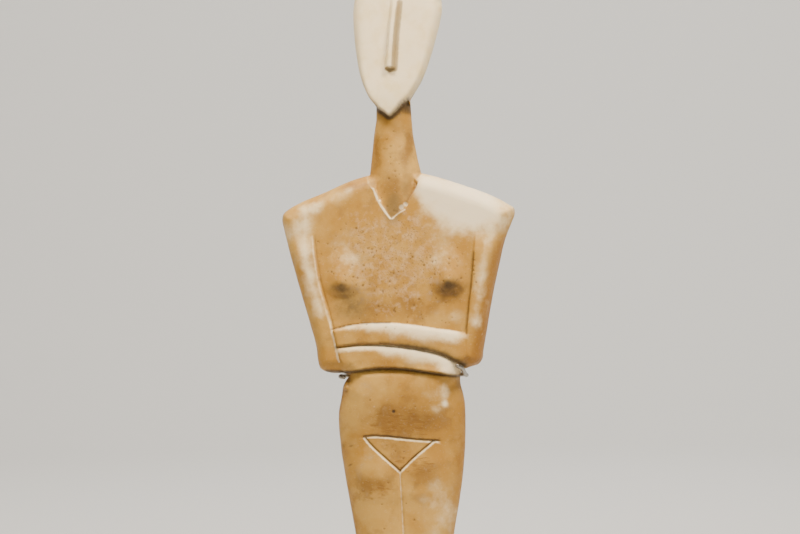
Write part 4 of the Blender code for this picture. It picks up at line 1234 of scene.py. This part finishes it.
for name, (mask, noise_name, noise_share, low, high, strength, layer_colour) in LAYERS.items():
    mask_value = 0.0
    if mask is not None:
        mask_value = add_node(tree, "ShaderNodeAttribute", {"attribute_name": mask}).outputs["Fac"]
    total = add_node(tree, "ShaderNodeMath", {"operation": "MULTIPLY_ADD"}, {
        0: noises[noise_name], 1: noise_share, 2: mask_value})
    shares[name] = add_node(tree, "ShaderNodeMapRange", SMOOTHLY, {
        "Value": total.outputs["Value"], "From Min": low + noise_share / 2,
        "From Max": high + noise_share / 2, "To Max": strength}).outputs["Result"]
    colour = add_node(tree, "ShaderNodeMix", MIX_COLOURS, {
        MIX_FACTOR: shares[name], MIX_A: colour, MIX_B: layer_colour}).outputs[MIX_RESULT]
tree.links.new(colour, shader.inputs["Base Color"])
print("Marble:", len(LAYERS), "colour layers")

# %% Island marble: sheen, soft shadows and fine bumps
MARBLE_ROUGHNESS = (0.5, 0.68)
SHEEN_NOISE = (0.35, 0.65)
MARBLE_IOR = 1.5
LIGHT_SHARE = 0.12
LIGHT_DEPTH = 1.2 * MILLIMETRE
LIGHT_COLOUR_DEPTHS = (1.0, 0.65, 0.4)

# Bumps, as (noise or layer, height in metres, whether it is sunk)
BUMPS = [
    (noises["grain"], 0.035 * MILLIMETRE, False),
    (shares["dark specks"], 0.1 * MILLIMETRE, True),
    (shares["scratches"], 0.08 * MILLIMETRE, True),
]
sheen = add_node(tree, "ShaderNodeMapRange", SMOOTHLY, {
    "Value": noises["mottle"], "From Min": SHEEN_NOISE[0], "From Max": SHEEN_NOISE[1],
    "To Min": MARBLE_ROUGHNESS[0], "To Max": MARBLE_ROUGHNESS[1]})
tree.links.new(sheen.outputs["Result"], shader.inputs["Roughness"])
shader.inputs["IOR"].default_value = MARBLE_IOR
shader.inputs["Subsurface Weight"].default_value = LIGHT_SHARE
shader.inputs["Subsurface Radius"].default_value = LIGHT_COLOUR_DEPTHS
shader.inputs["Subsurface Scale"].default_value = LIGHT_DEPTH
normal = None
for height, distance, sunk in BUMPS:
    sockets = {"Strength": 1.0, "Distance": distance, "Height": height}
    if normal is not None:
        sockets["Normal"] = normal
    normal = add_node(tree, "ShaderNodeBump", {"invert": sunk}, sockets).outputs["Normal"]
tree.links.new(normal, shader.inputs["Normal"])
figure.data.materials.append(marble)
print("Marble:", len(tree.nodes), "nodes")

# %% [markdown]
# ## The rod mount
#
# A mount maker bends one thin steel rod round the waist, just under the elbows, and brazes it to
# a thicker post that stands behind the legs, with a low collar round its foot. Only two rod ends
# show from the front. Rods are curves with a round section here, and the thin rod's ends are
# rounded off by shrinking its last points.

# %% Sizes of the mount
post_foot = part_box("mount")[0].z
base_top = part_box("base")[1].z
POST_DIAMETER = 5.0 * MILLIMETRE
PRONG_DIAMETER = 2.2 * MILLIMETRE
PRONG_CLEARANCE = 0.5 * MILLIMETRE
POST_CLEARANCE = 2.5 * MILLIMETRE
ROD_REACH = PRONG_DIAMETER / 2 + PRONG_CLEARANCE
cradle_level = figure_point(0, ELBOW_UNDERSIDE, 0).z - ROD_REACH
print(f"Post from {post_foot:.4f} m, base up to {base_top:.4f} m, cradle at {cradle_level:.4f} m")

# %% Where the cradle's rod runs
CRADLE_STEP = 1.5 * MILLIMETRE


def waist():
    """Left side, right side and back of the figure at the lower face of the cradle's rod."""
    up = ELBOW_UNDERSIDE - (ROD_REACH + PRONG_DIAMETER / 2) / SHARE
    ends = np.roll(FIGURE_LOOP, -1, axis=0)
    passes = (FIGURE_LOOP[:, 1] > up) != (ends[:, 1] > up)
    start, end = FIGURE_LOOP[passes], ends[passes]
    across = start[:, 0] + (up - start[:, 1]) * (end[:, 0] - start[:, 0]) / (end[:, 1] - start[:, 1])
    return across.min(), across.max(), at_height(up, BODY_BACK)


def cradle_path():
    """The bent rod from the left prong's tip, round the waist's back, to the right prong's tip.

    Each turn is (across, rise, depth), then how much of the rod's reach it stands off sideways
    and backwards. Across and depth are places on the figure, and the rise is counted from the
    cradle's level.
    """
    left, right, back = waist()
    turns = [
        (left + 1.0, 0.0, -7.5, -0.75, -0.9),
        (left - 1.2, 0.0, -4.0, -1.0, -0.4),
        (left - 1.7, 0.0, 1.0, -1.0, 0.0),
        (left - 0.5, 0.0, 5.5, -0.9, 0.5),
        (left + 5.5, 0.0, back - 1.2, -0.5, 0.9),
        (left / 2, 0.0, back, 0.0, 1.0),
        (0.0, 0.0, back, 0.0, 1.0),
        (right / 2, 0.0, back, 0.0, 1.0),
        (right - 6.2, 0.0, back - 1.2, 0.5, 0.9),
        (right + 0.3, 0.0, 5.5, 0.9, 0.5),
        (right + 1.5, 0.0, 1.0, 1.0, 0.0),
        (right + 1.2, 0.9, -4.0, 1.0, -0.3),
        (right + 1.1, 2.9, -9.0, 0.9, -0.6),
        (right + 0.7, 4.7, -12.8, 0.6, -0.9),
        (right - 1.0, 5.9, -14.8, 0.2, -1.1),
    ]
    points = []
    for across, rise, depth, out, behind in turns:
        place = figure_point(across, 0, depth)
        level = cradle_level + rise * SHARE
        points.append((place.x + out * ROD_REACH, place.y + behind * ROD_REACH, level))
    return smooth_line(points, CRADLE_STEP)


# %% A round rod along a path
ROD_ROUNDNESS = 6
TIP_ANGLES = np.radians((84, 60, 38, 18))


def rod(name, points, diameter, round_ends):
    """A round rod along a path, with its ends rounded off where they show."""
    curve = bpy.data.curves.new(name, "CURVE")
    curve.dimensions = "3D"
    curve.bevel_depth = diameter / 2
    curve.bevel_resolution = ROD_ROUNDNESS
    curve.use_fill_caps = True
    points = [Vector(point) for point in points]
    radii = [1.0] * len(points)
    if round_ends:
        tips = [(diameter / 2 * (1 - math.sin(a)), math.cos(a)) for a in TIP_ANGLES]
        start, end = points[0], points[-1]
        ahead, behind = (points[1] - start).normalized(), (points[-2] - end).normalized()
        first = [start + ahead * away for away, _ in tips]
        last = [end + behind * away for away, _ in reversed(tips)]
        points = first + points[1:-1] + last
        radii = [r for _, r in tips] + radii[1:-1] + [r for _, r in reversed(tips)]
    spline = curve.splines.new("POLY")
    spline.points.add(len(points) - 1)
    for target, point, radius in zip(spline.points, points, radii):
        target.co = (*point, 1)
        target.radius = radius
    spline.use_smooth = True
    return add_piece(name, curve)


# %% A turned piece
TURNED_SIDES = 64
SAME_PLACE = 0.01 * MILLIMETRE
SHARP_ANGLE = math.radians(35)


def turned(name, profile, centre, sides=TURNED_SIDES):
    """A turned piece from (radius, height) points that start and end on its axis."""
    shape = bmesh.new()
    rows = [shape.verts.new((r, 0, z)) for r, z in profile]
    edges = [shape.edges.new(pair) for pair in zip(rows, rows[1:])]
    bmesh.ops.spin(
        shape, geom=rows + edges, cent=(0, 0, 0), axis=(0, 0, 1), angle=2 * math.pi, steps=sides)
    bmesh.ops.remove_doubles(shape, verts=shape.verts, dist=SAME_PLACE)
    bmesh.ops.recalc_face_normals(shape, faces=shape.faces)
    bmesh.ops.translate(shape, vec=centre, verts=shape.verts)
    mesh = bpy.data.meshes.new(name)
    shape.to_mesh(mesh)
    shape.free()
    mesh.shade_smooth()
    mesh.set_sharp_from_angle(angle=SHARP_ANGLE)
    return add_piece(name, mesh)


# %% Bend the post and the cradle
BEND_POINTS = 12
furthest_back = max(depth for _, depth in BODY_BACK)
post_depth = figure_point(0, 0, furthest_back).y + POST_CLEARANCE + POST_DIAMETER / 2
bend = post_depth - figure_point(0, 0, waist()[2]).y - ROD_REACH
post_path = [(0, post_depth, post_foot)]
for angle in np.linspace(0, math.pi / 2, BEND_POINTS):
    forward = bend * (1 - math.cos(angle))
    post_path.append((0, post_depth - forward, cradle_level - bend + bend * math.sin(angle)))
post = rod("mount_post", post_path, POST_DIAMETER, False)
cradle = rod("mount_cradle", cradle_path(), PRONG_DIAMETER, True)
print(f"Post {post_depth * 1000:.1f} mm behind the middle, bent at {bend * 1000:.1f} mm")

# %% Turn the collar
COLLAR_HEIGHT = 2.5 * MILLIMETRE
COLLAR_RADIUS = 6.5 * MILLIMETRE
CHAMFER = 0.5 * MILLIMETRE
FIT_GAP = 0.3 * MILLIMETRE
post_radius = POST_DIAMETER / 2
collar = turned("mount_collar", [
    (0, 0),
    (COLLAR_RADIUS, 0),
    (COLLAR_RADIUS, COLLAR_HEIGHT - CHAMFER),
    (COLLAR_RADIUS - CHAMFER, COLLAR_HEIGHT),
    (post_radius + CHAMFER, COLLAR_HEIGHT),
    (post_radius, COLLAR_HEIGHT + CHAMFER),
    (0, COLLAR_HEIGHT + CHAMFER),
], (0, post_depth, base_top + FIT_GAP))

# %% Braze metal where the post meets the cradle
BRAZE_HALF_LENGTH = 6.0 * MILLIMETRE
BRAZE_RADIUS = 2.3 * MILLIMETRE
BRAZE_STEPS = 24


def fillet(out):
    """Radius of the braze metal at a distance from the joint's middle."""
    share = 0.5 + 0.5 * math.cos(math.pi * out / BRAZE_HALF_LENGTH)
    return PRONG_DIAMETER / 2 + (BRAZE_RADIUS - PRONG_DIAMETER / 2) * share


profile = [(0, -BRAZE_HALF_LENGTH)]
for out in np.linspace(-BRAZE_HALF_LENGTH, BRAZE_HALF_LENGTH, BRAZE_STEPS + 1):
    profile.append((fillet(out), out))
profile.append((0, BRAZE_HALF_LENGTH))
braze = turned("mount_braze", profile, (0, 0, 0))
braze.rotation_euler = (0, math.pi / 2, 0)
braze.location = (0, post_depth - bend, cradle_level)
mount_pieces = [post, cradle, collar, braze]
print("Mount:", ", ".join(piece.name for piece in mount_pieces))

# %% [markdown]
# ## Satin steel
#
# The rods are mild steel, rubbed with fine abrasive and waxed, which leaves a grey satin with
# faint streaks. The heat of brazing left slightly browner blotches.

# %% Satin steel: its noises
STEEL = linear("#9C9A95")
WARM_STEEL = linear("#84796B")

# Noises, as (size in millimetres, stretch, offset)
STEEL_NOISES = {
    "streaks": (0.4, (1.0, 1.0, 12.0), 0.0),
    "blotches": (6.0, EVENLY, 5.0),
}
STEEL_DETAIL = 3.0
BROWNER_NOISE = (0.4, 0.75)
STREAK_NOISE = (0.3, 0.7)
STEEL_ROUGHNESS = (0.28, 0.42)
STREAK_BUMP = 0.01 * MILLIMETRE
steel, tree, shader = new_material("satin_steel")
where = add_node(tree, "ShaderNodeTexCoord").outputs["Object"]
noises = {}
for name, (size, stretch, offset) in STEEL_NOISES.items():
    scale = [1 / (size * MILLIMETRE * along) for along in stretch]
    place = add_node(tree, "ShaderNodeMapping", None, {
        "Vector": where, "Scale": scale, "Location": (offset, offset, offset)})
    noises[name] = add_node(tree, "ShaderNodeTexNoise", None, {
        "Vector": place.outputs["Vector"], "Scale": 1.0, "Detail": STEEL_DETAIL,
        "Roughness": NOISE_ROUGHNESS}).outputs["Fac"]
warm_share = add_node(tree, "ShaderNodeMapRange", SMOOTHLY, {
    "Value": noises["blotches"], "From Min": BROWNER_NOISE[0], "From Max": BROWNER_NOISE[1]})

# %% Satin steel: colour, sheen and streaks
steel_colour = add_node(tree, "ShaderNodeMix", MIX_COLOURS, {
    MIX_FACTOR: warm_share.outputs["Result"], MIX_A: STEEL, MIX_B: WARM_STEEL})
steel_sheen = add_node(tree, "ShaderNodeMapRange", SMOOTHLY, {
    "Value": noises["streaks"], "From Min": STREAK_NOISE[0], "From Max": STREAK_NOISE[1],
    "To Min": STEEL_ROUGHNESS[0], "To Max": STEEL_ROUGHNESS[1]})
steel_bump = add_node(tree, "ShaderNodeBump", None, {
    "Strength": 1.0, "Distance": STREAK_BUMP, "Height": noises["streaks"]})
tree.links.new(steel_colour.outputs[MIX_RESULT], shader.inputs["Base Color"])
tree.links.new(steel_sheen.outputs["Result"], shader.inputs["Roughness"])
tree.links.new(steel_bump.outputs["Normal"], shader.inputs["Normal"])
shader.inputs["Metallic"].default_value = 1.0
for piece in mount_pieces:
    piece.data.materials.append(steel)
    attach(piece, "root")
    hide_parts("mount")
print("Steel on", ", ".join(piece.name for piece in mount_pieces))

# %% [markdown]
# ## The base
#
# The base is a low block of dark basalt, sawn and honed, with its edges eased. Its solid already
# has the right shape, so it stays and only gets its finish: a near-black grey with small paler
# crystals and a few pores.

# %% Honed basalt finish
BASALT = linear("#35332F")

# Clouds, crystals and last the pores, as (size in millimetres, offset, none below, full above, colour)
BASALT_LAYERS = [
    (18.0, 3.0, 0.3, 0.7, linear("#403D38")),
    (0.9, 0.0, 0.58, 0.72, linear("#5C5850")),
    (1.6, 8.0, 0.68, 0.74, linear("#1E1D1B")),
]
BASALT_DETAIL = 3.0
BASALT_ROUGHNESS = 0.5
PORE_DEPTH = 0.1 * MILLIMETRE
basalt, tree, shader = new_material("honed_basalt")
where = add_node(tree, "ShaderNodeTexCoord").outputs["Object"]
colour = BASALT
for size, offset, low, high, layer_colour in BASALT_LAYERS:
    place = add_node(tree, "ShaderNodeMapping", None, {
        "Vector": where, "Scale": [1 / (size * MILLIMETRE)] * 3, "Location": (offset, offset, offset)})
    spots = add_node(tree, "ShaderNodeTexNoise", None, {
        "Vector": place.outputs["Vector"], "Scale": 1.0, "Detail": BASALT_DETAIL,
        "Roughness": NOISE_ROUGHNESS})
    share = add_node(tree, "ShaderNodeMapRange", SMOOTHLY, {
        "Value": spots.outputs["Fac"], "From Min": low, "From Max": high}).outputs["Result"]
    colour = add_node(tree, "ShaderNodeMix", MIX_COLOURS, {
        MIX_FACTOR: share, MIX_A: colour, MIX_B: layer_colour}).outputs[MIX_RESULT]
pore_bump = add_node(tree, "ShaderNodeBump", {"invert": True}, {
    "Strength": 1.0, "Distance": PORE_DEPTH, "Height": share})
tree.links.new(colour, shader.inputs["Base Color"])
tree.links.new(pore_bump.outputs["Normal"], shader.inputs["Normal"])
shader.inputs["Roughness"].default_value = BASALT_ROUGHNESS
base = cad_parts["base"]
for slot in base.material_slots:
    slot.material = basalt
print("Basalt on", base.name)

# %% [markdown]
# ## Floor, light and camera
#
# A pale floor that curves up into a wall all round gives an even ground from every side. The
# light comes from above and in front, which is what makes the shallow cuts readable: two small
# warm lamps high up draw their shadows, a broad weak one keeps them from going black, and a
# fourth one lights the wall.

# %% Floor and wall, turned in one piece
WALL_RADIUS = 3.0
WALL_HEIGHT = 3.5
CURVE_RADIUS = 1.0
CURVE_STEPS = 24
FLOOR_SIDES = 128
PAPER = linear("#D8D5CF")
PAPER_ROUGHNESS = 0.9
sweep = [(0.0, 0.0)]
for angle in np.linspace(0, math.pi / 2, CURVE_STEPS):
    out = WALL_RADIUS - CURVE_RADIUS + CURVE_RADIUS * math.sin(angle)
    sweep.append((out, CURVE_RADIUS * (1 - math.cos(angle))))
sweep.append((WALL_RADIUS, WALL_HEIGHT))
floor = turned("floor_sweep", sweep, (0, 0, 0), FLOOR_SIDES)
paper, tree, shader = new_material("pale_paper")
shader.inputs["Base Color"].default_value = PAPER
shader.inputs["Roughness"].default_value = PAPER_ROUGHNESS
floor.data.materials.append(paper)
print(f"Floor and wall with a radius of {WALL_RADIUS} m")

# %% Lamps
def lamp(name, place, target, size, power, colour):
    """A square soft lamp that looks at a place."""
    light = bpy.data.lights.new(name, "AREA")
    light.size = size
    light.energy = power
    light.color = linear(colour)[:3]
    piece = add_piece(name, light)
    piece.location = place
    piece.rotation_euler = (Vector(target) - Vector(place)).to_track_quat("-Z", "Y").to_euler()


CHEST = figure_point(0, 250, -10)
BACKDROP = (0.0, WALL_RADIUS, 0.5)

# Lamps, as (name, place, target, size, power, colour), with places in metres
LAMPS = [
    ("left_lamp", (-0.22, -0.38, 1.08), CHEST, 0.20, 11.5, "#FFEFD6"),
    ("right_lamp", (0.42, -0.32, 1.02), CHEST, 0.20, 12.0, "#FFEFD6"),
    ("fill_light", (0.50, -0.95, 0.55), CHEST, 0.60, 1.6, "#FFF8EE"),
    ("backdrop_light", (0.0, 0.9, 2.0), BACKDROP, 1.6, 70.0, "#FFFFFF"),
]
for row in LAMPS:
    lamp(*row)
print("Lamps:", ", ".join(row[0] for row in LAMPS))

# %% A weak even light from all round
STUDIO_LIGHT = linear("#F2F0EC")
STUDIO_STRENGTH = 0.18
world = bpy.data.worlds.new("soft_studio")
world.use_nodes = True
world.node_tree.nodes["Background"].inputs["Color"].default_value = STUDIO_LIGHT
world.node_tree.nodes["Background"].inputs["Strength"].default_value = STUDIO_STRENGTH
bpy.context.scene.world = world

# %% Camera at the photograph's angle
PHOTO_WIDTH = 800
PIXEL_SIZE = 0.5 * MILLIMETRE
LENS = 85.0
SENSOR = 36.0
AZIMUTH = math.radians(7.0)
LEAN = math.radians(0.86)
LOOK_AT_HEIGHT = 260.5
LOOK_AT_SIDE = -0.75
distance = LENS / SENSOR * PHOTO_WIDTH * PIXEL_SIZE
right = Vector((math.cos(AZIMUTH), math.sin(AZIMUTH), 0))
forward = Vector((-math.sin(AZIMUTH), math.cos(AZIMUTH), 0))
upward = Vector((0, 0, 1))
camera = add_piece("photo_camera", bpy.data.cameras.new("photo_camera"))
camera.data.lens = LENS
camera.data.sensor_width = SENSOR
leaning_right = right * math.cos(LEAN) - upward * math.sin(LEAN)
leaning_up = right * math.sin(LEAN) + upward * math.cos(LEAN)
place = right * LOOK_AT_SIDE * MILLIMETRE - forward * distance + figure_point(0, LOOK_AT_HEIGHT, 0)
camera.matrix_world = Matrix((leaning_right, leaning_up, -forward)).transposed().to_4x4()
camera.location = place
bpy.context.scene.camera = camera
print(f"Camera {distance:.3f} m in front of the figure")
